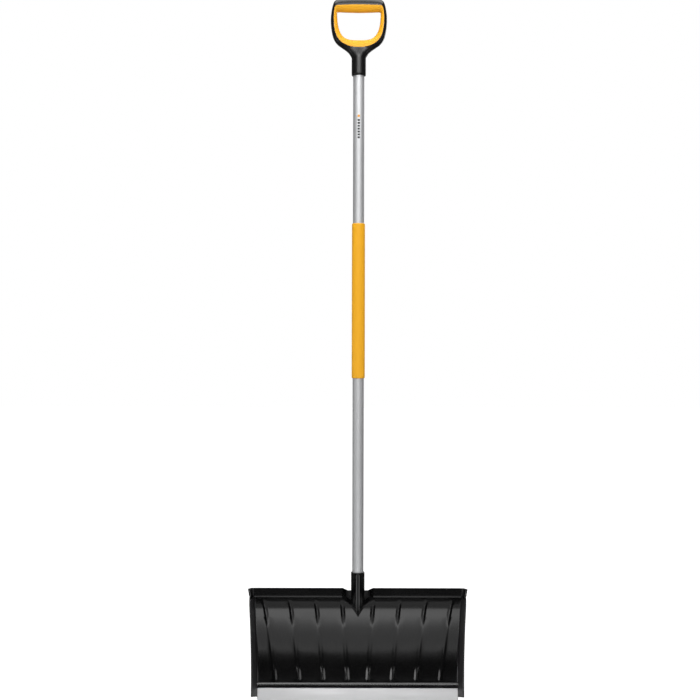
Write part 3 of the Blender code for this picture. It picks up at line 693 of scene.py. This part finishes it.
def notch_cutter():
    front = BAND_FORWARD + 0.015
    back = NOTCH_BACK_FORWARD
    top = BAND_HIGH_Z + 0.02
    places = (front, NOTCH_KNEE_FORWARD, back)
    rings = [notch_outline(notch_half(forward), 0.0, top, forward) for forward in places]
    return loft("notch_cutter", rings)


def beak_cutter():
    """A V groove below the notch's tip, deepest at its top."""
    tip = 0.0004
    rings = []
    for half, depth, z in ((tip, tip, BEAK_TIP_Z), (BEAK_HALF, BEAK_DEPTH, NOTCH_TIP_Z + 0.010)):
        front = SHAFT_Y - sheet_forward(z)
        rings.append([(-half, front - 0.001, z), (0.0, front + depth, z), (half, front - 0.001, z)])
    return loft("beak_cutter", rings)


def socket():
    """The round socket for the tube, with a narrow flat keel down its front."""
    soft = 0.0015
    profile = [(0.0, SOCKET_HIGH_Z)]
    profile += arc(SOCKET_RADIUS - soft, SOCKET_HIGH_Z - soft, soft, 90, 0, 5)
    profile.append((SOCKET_RADIUS, SOCKET_LOW_Z + SOCKET_TAPER_HEIGHT))
    profile.append((SOCKET_NOSE_RADIUS, SOCKET_LOW_Z + SOCKET_NOSE_HEIGHT))
    profile.append((0.0, SOCKET_LOW_Z))
    made = on_shaft(turned("socket", profile))
    half = SOCKET_KEEL_WIDTH / 2
    low = (-half, SHAFT_Y - SOCKET_RADIUS - SOCKET_KEEL_HEIGHT, SOCKET_LOW_Z + 0.03)
    high = (half, SHAFT_Y - SOCKET_RADIUS + 0.004, SOCKET_HIGH_Z - 0.0025)
    return combine(made, "UNION", box("keel", low, high))


def back_webs():
    """The tapering webs that tie the socket to the back of the sheet."""
    webs = []
    for z in WEB_HEIGHTS:
        inside = sheet_forward(z) - SHEET_THICKNESS / 2
        front = SHAFT_Y - inside
        levels = (z - WEB_THICKNESS / 2, z + WEB_THICKNESS / 2)
        for side in (-1, 1):
            root = side * WEB_ROOT_X
            tip = side * WEB_REACH
            corners = [(root, front), (root, SHAFT_Y + WEB_ROOT_BACK)]
            corners += [(tip, front + WEB_TIP_DEPTH), (tip, front)]
            webs.append(loft("web", [[(x, y, level) for x, y in corners] for level in levels]))
    return merge("back_webs", webs)


def tube_bore(low, high):
    turn = Matrix.Rotation(math.pi / ROUND_STEPS, 4, "Z")
    middle = Matrix.Translation((0.0, SHAFT_Y, (low + high) / 2))
    return cylinder("tube_bore", TUBE_RADIUS + GAP, high - low, middle @ turn)


def edge_plane():
    """The wear edge's own plane: X along the blade, Y up the plate, Z out of its front."""
    return Matrix.Rotation(math.radians(90) - FOOT_ANGLE, 4, "X")


def edge_slot():
    """The room that the wear edge takes up in the blade."""
    half = edge_high.x + GAP
    depth = EDGE_THICKNESS / 2 + GAP
    top = (edge_high.z + GAP) / FOOT_COS
    return place(box("edge_slot", (-half, -0.02, -depth), (half, top, depth)), edge_plane())


def screw_seats(heights, wall_radius):
    """Cutters that face a round wall flat behind the tube."""
    length = 0.006
    seats = []
    for z in heights:
        seat = rear_frame(z, wall_radius - PAD_DEPTH) @ Matrix.Translation((0.0, 0.0, length / 2))
        seats.append(cylinder("seat", PAD_RADIUS, length, seat, steps=48))
    return merge("screw_seats", seats)


def blade():
    made = blade_shell()
    made.name = "scoop_blade"
    combine(made, "UNION", lip())
    combine(made, "DIFFERENCE", edge_slot())
    combine(made, "UNION", band_caps())
    combine(made, "UNION", notch_backing())
    combine(made, "DIFFERENCE", notch_cutter())
    combine(made, "UNION", socket())
    combine(made, "DIFFERENCE", beak_cutter())
    combine(made, "UNION", back_webs())
    combine(made, "DIFFERENCE", tube_bore(tube_low.z - BORE_BELOW_TUBE, SOCKET_HIGH_Z + 0.03))
    screws = screw_heights("socket_screw_1", "socket_screw_2")
    combine(made, "DIFFERENCE", screw_seats(screws, SOCKET_RADIUS))
    return shade(made)


# Wear edge, tube and mid grip


def wear_edge():
    """The plate with rounded lower corners and softened edges."""
    half = edge_high.x
    radius = EDGE_CORNER_RADIUS
    low = 0.0004
    top = (edge_high.z - EDGE_THICKNESS / 2 * FOOT_SIN) / FOOT_COS
    outline = [(half, top), (-half, top)]
    outline += arc(radius - half, low + radius, radius, 180, 270, 16)
    outline += arc(half - radius, low + radius, radius, 270, 360, 16)
    soft = 0.0003
    rings = []
    for depth, inset in ((-1.0, soft), (-0.7, 0.0), (0.7, 0.0), (1.0, soft)):
        ring = []
        for x, y in outline:
            shrink_x = 1.0 - inset / half
            shrink_y = 1.0 - 2 * inset / (top - low)
            ring.append((x * shrink_x, low + inset + (y - low) * shrink_y, depth * EDGE_THICKNESS / 2))
        rings.append(ring)
    return shade(place(loft("wear_edge_plate", rings), edge_plane()))


def shaft():
    inner = TUBE_RADIUS - TUBE_WALL
    low, high = tube_low.z, tube_high.z
    spans = 24
    steps = [high - (high - low) * k / spans for k in range(spans + 1)]
    profile = [(TUBE_RADIUS, z) for z in steps] + [(inner, z) for z in reversed(steps)]
    return shade(on_shaft(turned("shaft", profile)))


def mid_grip():
    """The sleeve, with rounded ends."""
    outer = (grip_high.x - grip_low.x) / 2
    soft = 0.0022
    low, high = grip_low.z, grip_high.z
    spans = 16
    steps = [high - soft - (high - low - 2 * soft) * k / spans for k in range(spans + 1)]
    profile = [(TUBE_RADIUS + GAP, high)]
    profile += arc(outer - soft, high - soft, soft, 90, 0, 8)[:-1]
    profile += [(outer, z) for z in steps]
    profile += arc(outer - soft, low + soft, soft, 0, -90, 8)[1:]
    profile.append((TUBE_RADIUS + GAP, low))
    return shade(on_shaft(turned("grip_sleeve", profile)))


# The D-handle


def mirrored(point):
    return (-point[0], point[1])


def spline_point(points, position):
    """A point on a smooth curve through points of a half loop, which is level where it crosses x = 0."""
    last = len(points) - 1
    span = min(int(position), last - 1)
    share = position - span
    before = Vector(mirrored(points[1]) if span == 0 else points[span - 1])
    after = Vector(mirrored(points[last - 1]) if span == last - 1 else points[span + 2])
    start = Vector(points[span])
    end = Vector(points[span + 1])
    leave = (end - before) / 2
    arrive = (after - start) / 2
    square, cube = share**2, share**3
    return (
        start * (2 * cube - 3 * square + 1)
        + leave * (cube - 2 * square + share)
        + end * (3 * square - 2 * cube)
        + arrive * (cube - square)
    )


def loop_point(points, turn):
    """A point of a closed, symmetric loop, for a turn from 0 to 1 that starts at the top middle."""
    last = len(points) - 1
    position = turn * 2 * last
    if position <= last:
        return spline_point(points, position)
    point = spline_point(points, 2 * last - position)
    return Vector((-point.x, point.y))


def ring_depth(turn):
    """Half the handle ring's depth, front to back."""
    share = smooth_step(0.15, 0.40, min(turn, 1 - turn) * 2)
    return RING_BAR_HALF_DEPTH + (RING_ARM_HALF_DEPTH - RING_BAR_HALF_DEPTH) * share


def half_ring(name, edge_loop, buried, arc_steps=18):
    """Half ovals round the ring, from a depth "buried" behind the colour seam to an edge loop."""
    rings = []
    for turn in RING_TURNS:
        seam = loop_point(SEAM_LOOP, turn)
        reach = loop_point(edge_loop, turn) - seam
        depth = ring_depth(turn)
        ring = []
        for step in range(arc_steps + 1):
            angle = math.radians(-90 + 180 * step / arc_steps)
            point = seam + reach * math.cos(angle)
            ring.append((point.x, SHAFT_Y + depth * math.sin(angle), point.y))
        behind = seam - reach.normalized() * buried
        ring.append((behind.x, SHAFT_Y + depth, behind.y))
        ring.append((behind.x, SHAFT_Y - depth, behind.y))
        rings.append(ring)
    return loft(name, rings, capped=False)


def neck():
    """The solid from the round collar up to the ring's lower bow."""
    rings = []
    for rise, half_width, half_depth in NECK_SECTIONS:
        z = collar_low.z + rise
        flatness = NECK_FLATNESS * smooth_step(COLLAR_HIGH_Z, NECK_FLAT_Z, z)
        ring = []
        for step in range(ROUND_STEPS):
            angle = 2 * math.pi * step / ROUND_STEPS
            bulge = math.copysign(abs(math.sin(angle)) ** (1 - flatness), math.sin(angle))
            ring.append((half_width * math.cos(angle), SHAFT_Y + half_depth * bulge, z))
        rings.append(ring)
    return loft("neck", rings)


def seam_prism(offset):
    """Everything inside the colour seam, grown by an offset."""
    rings = []
    for y in (SHAFT_Y - 0.03, SHAFT_Y + 0.03):
        ring = []
        for turn in RING_TURNS:
            seam = loop_point(SEAM_LOOP, turn)
            outwards = (loop_point(OUTER_LOOP, turn) - seam).normalized() * offset
            ring.append((seam.x + outwards.x, y, seam.y + outwards.y))
        rings.append(ring)
    return loft("seam_prism", rings)


def handle_frame():
    """The black frame: ring and neck melted into one moulding, then cut along the seam and bored."""
    made = merge("handle_moulding", [half_ring("ring", OUTER_LOOP, RING_BURIED), neck()])
    melt = made.modifiers.new("melt", "REMESH")
    melt.mode = "VOXEL"
    melt.voxel_size = SMOOTH_VOXEL
    soften = made.modifiers.new("soften", "SMOOTH")
    soften.factor = 0.5
    soften.iterations = 40
    bake(made)
    combine(made, "DIFFERENCE", seam_prism(SEAM_GAP))
    combine(made, "DIFFERENCE", tube_bore(collar_low.z - 0.01, COLLAR_BORE_HIGH_Z))
    combine(made, "DIFFERENCE", screw_seats(screw_heights("handle_screw"), COLLAR_RADIUS))
    return shade(made, 40.0)


def handle_grip():
    """The amber half of the ring, which follows the frame's seam."""
    return shade(half_ring("soft_grip", OPENING_LOOP, -SEAM_GAP), 50.0)


# Screws


def rear_frame(z, radius):
    """Origin on a screw's seat behind the tube, +Z pointing backwards."""
    return Matrix.Translation((0.0, SHAFT_Y + radius, z)) @ Matrix.Rotation(math.radians(-90), 4, "X")


def middle_of(node):
    low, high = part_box(node)
    return (low + high) / 2


def screw_heights(*names):
    return [middle_of(name).z for name in names]


def screw(name, head, under_head, matrix):
    """A screw's domed head with a cross recess, and the start of its shank."""
    radius, height = head
    shank = radius * 0.45
    shank_end = -0.004
    profile = [(0.0, under_head + height)]
    for angle in range(15, 91, 15):
        reach = math.sin(math.radians(angle))
        rise = math.cos(math.radians(angle))
        profile.append((radius * reach, under_head + height * (0.2 + 0.8 * rise)))
    profile += [(radius * 0.97, under_head), (shank, under_head), (shank, shank_end), (0.0, shank_end)]
    made = turned(name, profile, SCREW_STEPS)
    arm = radius * 0.55
    slot = radius * 0.13
    deep = under_head + height * 0.45
    above = under_head + height * 2
    recess = box("recess", (-arm, -slot, deep), (arm, slot, above))
    combine(recess, "UNION", box("cross", (-slot, -arm, deep), (slot, arm, above)))
    combine(made, "DIFFERENCE", recess)
    return shade(place(made, matrix))


def washer(name, matrix):
    soft = 0.00025
    inner = 0.0023
    low, high = GAP, GAP + WASHER_THICKNESS
    profile = [(inner, high), (WASHER_RADIUS - soft, high), (WASHER_RADIUS, high - soft)]
    profile += [(WASHER_RADIUS, low + soft), (WASHER_RADIUS - soft, low), (inner, low)]
    return shade(place(turned(name, profile, SCREW_STEPS), matrix))


def edge_screw_frame(x):
    """Origin on the back of the sheet's foot at a screw, +Z pointing out of the back."""
    normal = Vector((0.0, FOOT_COS, -FOOT_SIN))
    up_plate = Vector((0.0, FOOT_SIN, FOOT_COS))
    on_plate = up_plate * middle_of("edge_screw_1").dot(up_plate)
    front_of_sheet = (SHAFT_Y - arc_forward(0.0)) * FOOT_COS
    turn = Vector((0.0, 0.0, 1.0)).rotation_difference(normal).to_matrix().to_4x4()
    origin = on_plate + normal * (front_of_sheet + SHEET_THICKNESS) + Vector((x, 0.0, 0.0))
    return Matrix.Translation(origin) @ turn


# Materials

RANGE_KEYS = ("From Min", "From Max", "To Min", "To Max")


class Shader:
    """A node material under construction, with short names for the nodes that it uses."""

    def __init__(self, name, roughness, metallic=0.0):
        self.material = bpy.data.materials.new(name)
        self.material.use_nodes = True
        self.nodes = self.material.node_tree.nodes
        self.links = self.material.node_tree.links
        self.surface = self.nodes["Principled BSDF"]
        self.fix("Roughness", roughness)
        self.fix("Metallic", metallic)
        self.place = self.nodes.new("ShaderNodeTexCoord").outputs["Object"]

    def fix(self, name, value):
        self.surface.inputs[name].default_value = value

    def drive(self, name, value):
        self.links.new(value, self.surface.inputs[name])

    def noise(self, scale, stretch=(1.0, 1.0, 1.0), detail=3.0):
        """Noise between 0 and 1. A large stretch makes its grain short along that axis."""
        mapping = self.nodes.new("ShaderNodeMapping")
        mapping.inputs["Scale"].default_value = stretch
        texture = self.nodes.new("ShaderNodeTexNoise")
        texture.inputs["Scale"].default_value = scale
        texture.inputs["Detail"].default_value = detail
        self.links.new(self.place, mapping.inputs["Vector"])
        self.links.new(mapping.outputs["Vector"], texture.inputs["Vector"])
        return texture.outputs["Fac"]

    def remap(self, value, low, high, to_low, to_high):
        ranger = self.nodes.new("ShaderNodeMapRange")
        self.links.new(value, ranger.inputs["Value"])
        for key, number in zip(RANGE_KEYS, (low, high, to_low, to_high)):
            ranger.inputs[key].default_value = number
        return ranger.outputs["Result"]

    def math(self, operation, first, second):
        node = self.nodes.new("ShaderNodeMath")
        node.operation = operation
        for slot, value in zip(node.inputs, (first, second)):
            if isinstance(value, (int, float)):
                slot.default_value = value
            else:
                self.links.new(value, slot)
        return node.outputs["Value"]

    def times(self, first, second):
        return self.math("MULTIPLY", first, second)

    def plus(self, first, second):
        return self.math("ADD", first, second)

    def minus(self, first, second):
        return self.math("SUBTRACT", first, second)

    def unsigned(self, value):
        return self.math("ABSOLUTE", value, 0.0)

    def spread(self, noise, low, high):
        """A noise brought from its usual values to a range."""
        return self.remap(noise, 0.3, 0.7, low, high)

    def mix(self, share, first, second):
        """A colour between two colours, given as numbers or as sockets."""
        node = self.nodes.new("ShaderNodeMix")
        node.data_type = "RGBA"
        self.links.new(share, node.inputs[0])
        for slot, colour in ((node.inputs[6], first), (node.inputs[7], second)):
            if isinstance(colour, tuple):
                slot.default_value = (*colour, 1.0)
            else:
                self.links.new(colour, slot)
        return node.outputs[2]

    def axes(self):
        """The X, Y and Z of the point on the object."""
        split = self.nodes.new("ShaderNodeSeparateXYZ")
        self.links.new(self.place, split.inputs["Vector"])
        return split.outputs

    def bump(self, height, depth, strength=1.0):
        """A bump of a height between 0 and 1 times a depth in metres."""
        node = self.nodes.new("ShaderNodeBump")
        node.inputs["Strength"].default_value = strength
        node.inputs["Distance"].default_value = depth
        self.links.new(height, node.inputs["Height"])
        self.drive("Normal", node.outputs["Normal"])


def between(made, value, limits):
    """1 between the two middle limits, 0 outside the outer two."""
    low, full_low, full_high, high = limits
    rise = made.remap(value, low, full_low, 0.0, 1.0)
    fall = made.remap(value, full_high, high, 1.0, 0.0)
    return made.times(rise, fall)


def blade_plastic():
    """Black moulded plastic: fine grain, faint flow marks, scuffs near the foot, matt cheeks painted a
    lighter grey as painted light, and painted highlights on the keel's edges.
    """
    made = Shader("blade_plastic", 0.2)
    grain = made.noise(2600.0, detail=2.0)
    flow = made.noise(9.0, (1.0, 1.0, 3.0))
    scuffs = made.remap(made.noise(60.0, (0.25, 1.0, 6.0), 4.0), 0.66, 0.78, 0.0, 1.0)
    axes = made.axes()
    foot = made.remap(axes["Z"], *SCUFF_FADE_Z, 1.0, 0.0)
    from_corner = made.minus(made.unsigned(axes["X"]), corner_x(0.0))
    past_corner = made.minus(from_corner, made.times(axes["Z"], CORNER_SLOPE))
    below_band = made.remap(axes["Z"], BAND_LOW_Z - 0.003, BAND_LOW_Z, 1.0, 0.0)
    cheek = made.times(made.remap(past_corner, -0.001, 0.002, 0.0, 1.0), below_band)
    marks = made.times(scuffs, made.times(foot, SCUFF_SHARE))
    black = made.mix(marks, BLADE_BLACK, SCUFF_AND_LIT_CHEEK_BLACK)
    # Painted highlights: a lighter grey along the edges of the keel
    black_with_keel_highlights = made.mix(keel_edge_highlights(made, axes), black, KEEL_HIGHLIGHT_GREY)
    # Painted light: the cheeks are painted a lighter grey than the sheet
    made.drive("Base Color", made.mix(cheek, black_with_keel_highlights, SCUFF_AND_LIT_CHEEK_BLACK))
    rough = made.plus(made.spread(flow, 0.17, 0.22), made.times(marks, SCUFF_ROUGHER))
    rough = made.plus(rough, made.times(socket_shade(made, axes), SOCKET_ROUGHER))
    on_lip = made.remap(axes["Z"], LIP_TOP_Z, LIP_TOP_Z + 0.002, LIP_SMOOTHER, 0.0)
    rough = made.minus(rough, on_lip)
    made.drive("Roughness", made.plus(rough, made.times(cheek, CHEEK_ROUGHER)))
    made.bump(grain, PLASTIC_GRAIN, 0.35)
    return made.material


def keel_edge_highlights(made, axes):
    """1 on the edges of the keel down the socket's front, where a lighter grey is painted as painted
    highlights.
    """
    half = SOCKET_KEEL_WIDTH / 2
    outwards = made.unsigned(axes["X"])
    lines = between(made, outwards, (half - 0.0009, half - 0.0006, half + 0.0003, half + 0.0006))
    low = SOCKET_LOW_Z + 0.09
    heights = between(made, axes["Z"], (low, low + 0.03, SOCKET_HIGH_Z - 0.006, SOCKET_HIGH_Z - 0.003))
    face = SHAFT_Y - SOCKET_RADIUS
    front = made.remap(axes["Y"], face + 0.001, face + 0.002, 1.0, 0.0)
    return made.times(made.times(lines, heights), front)


def socket_shade(made, axes):
    """1 on the keel's flat front and on the notch's back wall, which are matt."""
    outwards = made.unsigned(axes["X"])
    half = SOCKET_KEEL_WIDTH / 2 - 0.0008
    keel = made.remap(outwards, half - 0.0002, half, 1.0, 0.0)
    near, far = SOCKET_RADIUS, NOTCH_FRONT_HALF
    wall = between(made, outwards, (near, near + 0.0004, far, far + 0.001))
    at_shaft = made.remap(axes["Y"], SHAFT_Y - 0.010, SHAFT_Y - 0.008, 0.0, 1.0)
    high = made.remap(axes["Z"], NOTCH_TIP_Z - 0.001, NOTCH_TIP_Z, 0.0, 1.0)
    return made.times(made.math("MAXIMUM", keel, made.times(wall, at_shaft)), high)


def handle_plastic():
    """The D-handle's black moulding, with a finer and rougher grain than the blade."""
    made = Shader("handle_plastic", 0.3)
    grain = made.noise(3200.0, detail=2.0)
    made.drive("Base Color", made.mix(made.noise(40.0), *HANDLE_BLACKS))
    made.drive("Roughness", made.spread(made.noise(25.0), 0.32, 0.40))
    made.bump(grain, PLASTIC_GRAIN, 0.4)
    return made.material


def amber_rubber(name):
    """Soft amber grip: a fine matt grain with a faint unevenness of colour."""
    made = Shader(name, 0.5)
    grain = made.noise(2400.0, detail=3.0)
    made.drive("Base Color", made.mix(made.noise(30.0), *AMBERS))
    made.drive("Roughness", made.spread(grain, 0.42, 0.58))
    made.bump(grain, FINE_GRAIN, 0.2)
    made.fix("Specular IOR Level", 0.3)
    return made.material


def anodised_tube():
    """Drawn, satin anodised tube with fine lines along it and a small printed mark of plain bars."""
    made = Shader("anodised_tube", 0.60, 1.0)
    lines = made.noise(900.0, (1.0, 1.0, 0.012), 2.0)
    cloud = made.noise(14.0, (1.0, 1.0, 0.3))
    metal = made.mix(cloud, *ANODISED_GREYS)
    dark_bars = bar_mask(made, *DARK_BARS)
    amber_bar = bar_mask(made, *AMBER_BAR)
    printed = made.mix(dark_bars, metal, INK_BLACK)
    made.drive("Base Color", made.mix(amber_bar, printed, INK_AMBER))
    ink = made.math("MAXIMUM", dark_bars, amber_bar)
    made.drive("Metallic", made.minus(1.0, ink))
    made.drive("Roughness", made.spread(lines, 0.62, 0.68))
    made.bump(lines, FINE_GRAIN, 0.5)
    return made.material


def bar_mask(made, low, high, pitch, length):
    """1 inside a row of short bars up the tube's front, between two heights."""
    axes = made.axes()
    above = made.math("GREATER_THAN", axes["Z"], low)
    below = made.math("LESS_THAN", axes["Z"], high)
    phase = made.math("MODULO", made.minus(axes["Z"], low), pitch)
    bars = made.math("LESS_THAN", phase, length)
    wide = made.math("LESS_THAN", made.unsigned(axes["X"]), BAR_HALF_WIDTH)
    front = made.math("LESS_THAN", axes["Y"], SHAFT_Y)
    return made.times(made.times(made.times(above, below), bars), made.times(wide, front))


def rolled_aluminium():
    """Bare rolled plate: fine streaks along it, a few scratches and small stains."""
    made = Shader("rolled_aluminium", 0.3, 1.0)
    streaks = made.noise(1400.0, (0.012, 1.0, 1.0), 3.0)
    scratches = made.remap(made.noise(220.0, (0.03, 1.0, 1.0), 4.0), 0.60, 0.66, 0.0, 1.0)
    stain = made.noise(28.0, (0.4, 1.0, 1.0))
    made.drive("Base Color", made.mix(made.remap(stain, 0.35, 0.75, 0.0, 0.5), *BARE_GREYS))
    rough = made.spread(streaks, 0.32, 0.38)
    made.drive("Roughness", made.plus(rough, made.times(scratches, 0.06)))
    made.bump(streaks, FINE_GRAIN, 0.35)
    return made.material


def zinc_steel():
    """Zinc plated steel: small cloudy spangles."""
    made = Shader("zinc_plating", 0.35, 1.0)
    cloud = made.noise(700.0, detail=2.0)
    made.drive("Base Color", made.mix(cloud, *ZINC_GREYS))
    made.drive("Roughness", made.spread(cloud, 0.26, 0.42))
    made.bump(cloud, FINE_GRAIN, 0.4)
    return made.material


def paint(obj, finish):
    obj.data.materials.clear()
    obj.data.materials.append(finish)


# Floor, lights and camera


def flat_square(name, half):
    """A level square round the origin, from half its side."""
    builder = bmesh.new()
    bmesh.ops.create_grid(builder, x_segments=8, y_segments=8, size=half)
    return add_mesh(name, builder)


def glowing_paint(name, base, glow_of):
    """Matt grey paint that glows white, as strongly as a function of its shader says."""
    finish = Shader(name, 0.9)
    finish.fix("Base Color", (base, base, base, 1.0))
    finish.fix("Emission Color", (1.0, 1.0, 1.0, 1.0))
    finish.drive("Emission Strength", glow_of(finish))
    return finish


def floor_glow(finish):
    """Dimmer to the object than to the camera."""
    seen = finish.nodes.new("ShaderNodeLightPath").outputs["Is Camera Ray"]
    axes = finish.axes()
    squares = [finish.times(axes[name], axes[name]) for name in "XY"]
    radius = finish.math("SQRT", finish.plus(*squares), 0.0)
    to_camera = finish.times(seen, finish.remap(radius, *FLOOR_GLOW_RADII, FLOOR_GLOW, 1.0))
    return finish.math("MAXIMUM", to_camera, FLOOR_GLOW_TO_OBJECT)


def floor():
    """A plain white floor that the object's gloss doesn't show."""
    made = flat_square("studio_floor", FLOOR_REACH)
    made.location.z = FLOOR_Z
    made.visible_glossy = False
    paint(made, glowing_paint("floor_paint", 0.60, floor_glow).material)


def card_glow(finish):
    """The card widens with distance. Its near end is dim, its far end bright, with a stripe between."""
    axes = finish.axes()
    widening = finish.times(axes["Y"], CARD_SPREAD)
    from_edge = finish.minus(finish.plus(finish.unsigned(axes["X"]), widening), CARD_HALF_WIDTH)
    inside = finish.remap(from_edge, *CARD_SOFT_EDGE, 1.0, 0.0)
    far = finish.times(between(finish, axes["Y"], CARD_FAR), CARD_FAR_GLOW)
    near = finish.times(between(finish, axes["Y"], CARD_NEAR), CARD_NEAR_GLOW)
    stripe = finish.times(between(finish, axes["Y"], CARD_STRIPE), CARD_STRIPE_GLOW)
    glow = finish.plus(finish.plus(finish.plus(near, far), stripe), CARD_GLOW)
    return finish.times(glow, inside)


def reflector():
    """A pale card on the floor in front of the blade, seen only in the object's gloss."""
    made = flat_square("reflector_card", 0.5)
    place(made, Matrix.Diagonal((CARD_SHEET_WIDTH, CARD_LENGTH, 1.0, 1.0)))
    place(made, Matrix.Translation((0.0, -CARD_LENGTH / 2, CARD_Z)))
    made.visible_camera = False
    made.visible_diffuse = False
    made.visible_shadow = False
    finish = glowing_paint("card_paint", 0.0, card_glow)
    finish.fix("Specular IOR Level", 0.0)
    paint(made, finish.material)


def softbox(name, position, aim, size, power):
    data = bpy.data.lights.new(name, "AREA")
    data.shape = "RECTANGLE"
    data.size, data.size_y = size
    data.energy = power
    made = bpy.data.objects.new(name, data)
    made.location = position
    made.rotation_euler = (Vector(aim) - Vector(position)).to_track_quat("-Z", "Y").to_euler()
    link(made)


def surroundings():
    """White to the camera. What the object reflects is a dim room in front and a paler one behind."""
    world = bpy.data.worlds.new("studio")
    bpy.context.scene.world = world
    world.use_nodes = True
    nodes, links = world.node_tree.nodes, world.node_tree.links
    place_in_room = nodes.new("ShaderNodeSeparateXYZ")
    links.new(nodes.new("ShaderNodeTexCoord").outputs["Generated"], place_in_room.inputs["Vector"])
    paleness = nodes.new("ShaderNodeMapRange")
    links.new(place_in_room.outputs["Y"], paleness.inputs["Value"])
    for key, number in zip(RANGE_KEYS, (*ROOM_TURNS, ROOM_FRONT, ROOM_BACK)):
        paleness.inputs[key].default_value = number
    room = nodes["Background"]
    room.inputs["Color"].default_value = (1.0, 1.0, 1.0, 1.0)
    links.new(paleness.outputs["Result"], room.inputs["Strength"])
    white = nodes.new("ShaderNodeBackground")
    white.inputs["Color"].default_value = (1.0, 1.0, 1.0, 1.0)
    mix = nodes.new("ShaderNodeMixShader")
    links.new(nodes.new("ShaderNodeLightPath").outputs["Is Camera Ray"], mix.inputs["Fac"])
    links.new(room.outputs["Background"], mix.inputs[1])
    links.new(white.outputs["Background"], mix.inputs[2])
    links.new(mix.outputs["Shader"], nodes["World Output"].inputs["Surface"])
    bpy.context.scene.view_settings.view_transform = "Standard"


def camera():
    data = bpy.data.cameras.new("camera")
    data.lens = CAMERA_LENS
    data.sensor_width = CAMERA_SENSOR
    data.shift_x = CAMERA_SHIFT_X
    made = bpy.data.objects.new("camera", data)
    made.location = (0.0, SHAFT_Y - CAMERA_DISTANCE, CAMERA_HEIGHT)
    made.rotation_euler = (math.radians(90), math.radians(CAMERA_ROLL), 0.0)
    bpy.context.scene.camera = link(made)


# Everything together


def show(obj, finish, slot, *nodes):
    """Gives a piece its finish and puts it in place of CAD nodes."""
    paint(obj, finish)
    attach(obj, "root")
    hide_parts(*nodes)


def main():
    plastic = blade_plastic()
    metal = zinc_steel()
    show(blade(), plastic, "black_plastic", "blade")
    show(wear_edge(), rolled_aluminium(), "bare_aluminium", "wear_edge")
    show(shaft(), anodised_tube(), "anodised_aluminium", "shaft_tube")
    show(mid_grip(), amber_rubber("sleeve_rubber"), "amber_grip", "mid_grip")
    show(handle_frame(), handle_plastic(), "black_plastic", "handle_frame")
    show(handle_grip(), amber_rubber("handle_rubber"), "amber_grip", "handle_grip")

    edge_nodes = sorted(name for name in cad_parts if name.startswith("edge_screw_"))
    for name in edge_nodes:
        matrix = edge_screw_frame(middle_of(name).x)
        show(screw("head_of_" + name, EDGE_SCREW_HEAD, GAP, matrix), metal, "zinc_steel", name)
    for name in ("socket_screw_1", "socket_screw_2", "handle_screw"):
        wall_radius = COLLAR_RADIUS if name == "handle_screw" else SOCKET_RADIUS
        seat = rear_frame(middle_of(name).z, wall_radius - PAD_DEPTH)
        show(washer("ring_of_" + name, seat), metal, "zinc_steel", name + "_washer")
        under_head = 2 * GAP + WASHER_THICKNESS
        show(screw("head_of_" + name, TUBE_SCREW_HEAD, under_head, seat), metal, "zinc_steel", name)
    paint(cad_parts["tube_end_plug"], plastic)

    floor()
    reflector()
    for light in SOFTBOXES:
        softbox(*light)
    surroundings()
    camera()


main()
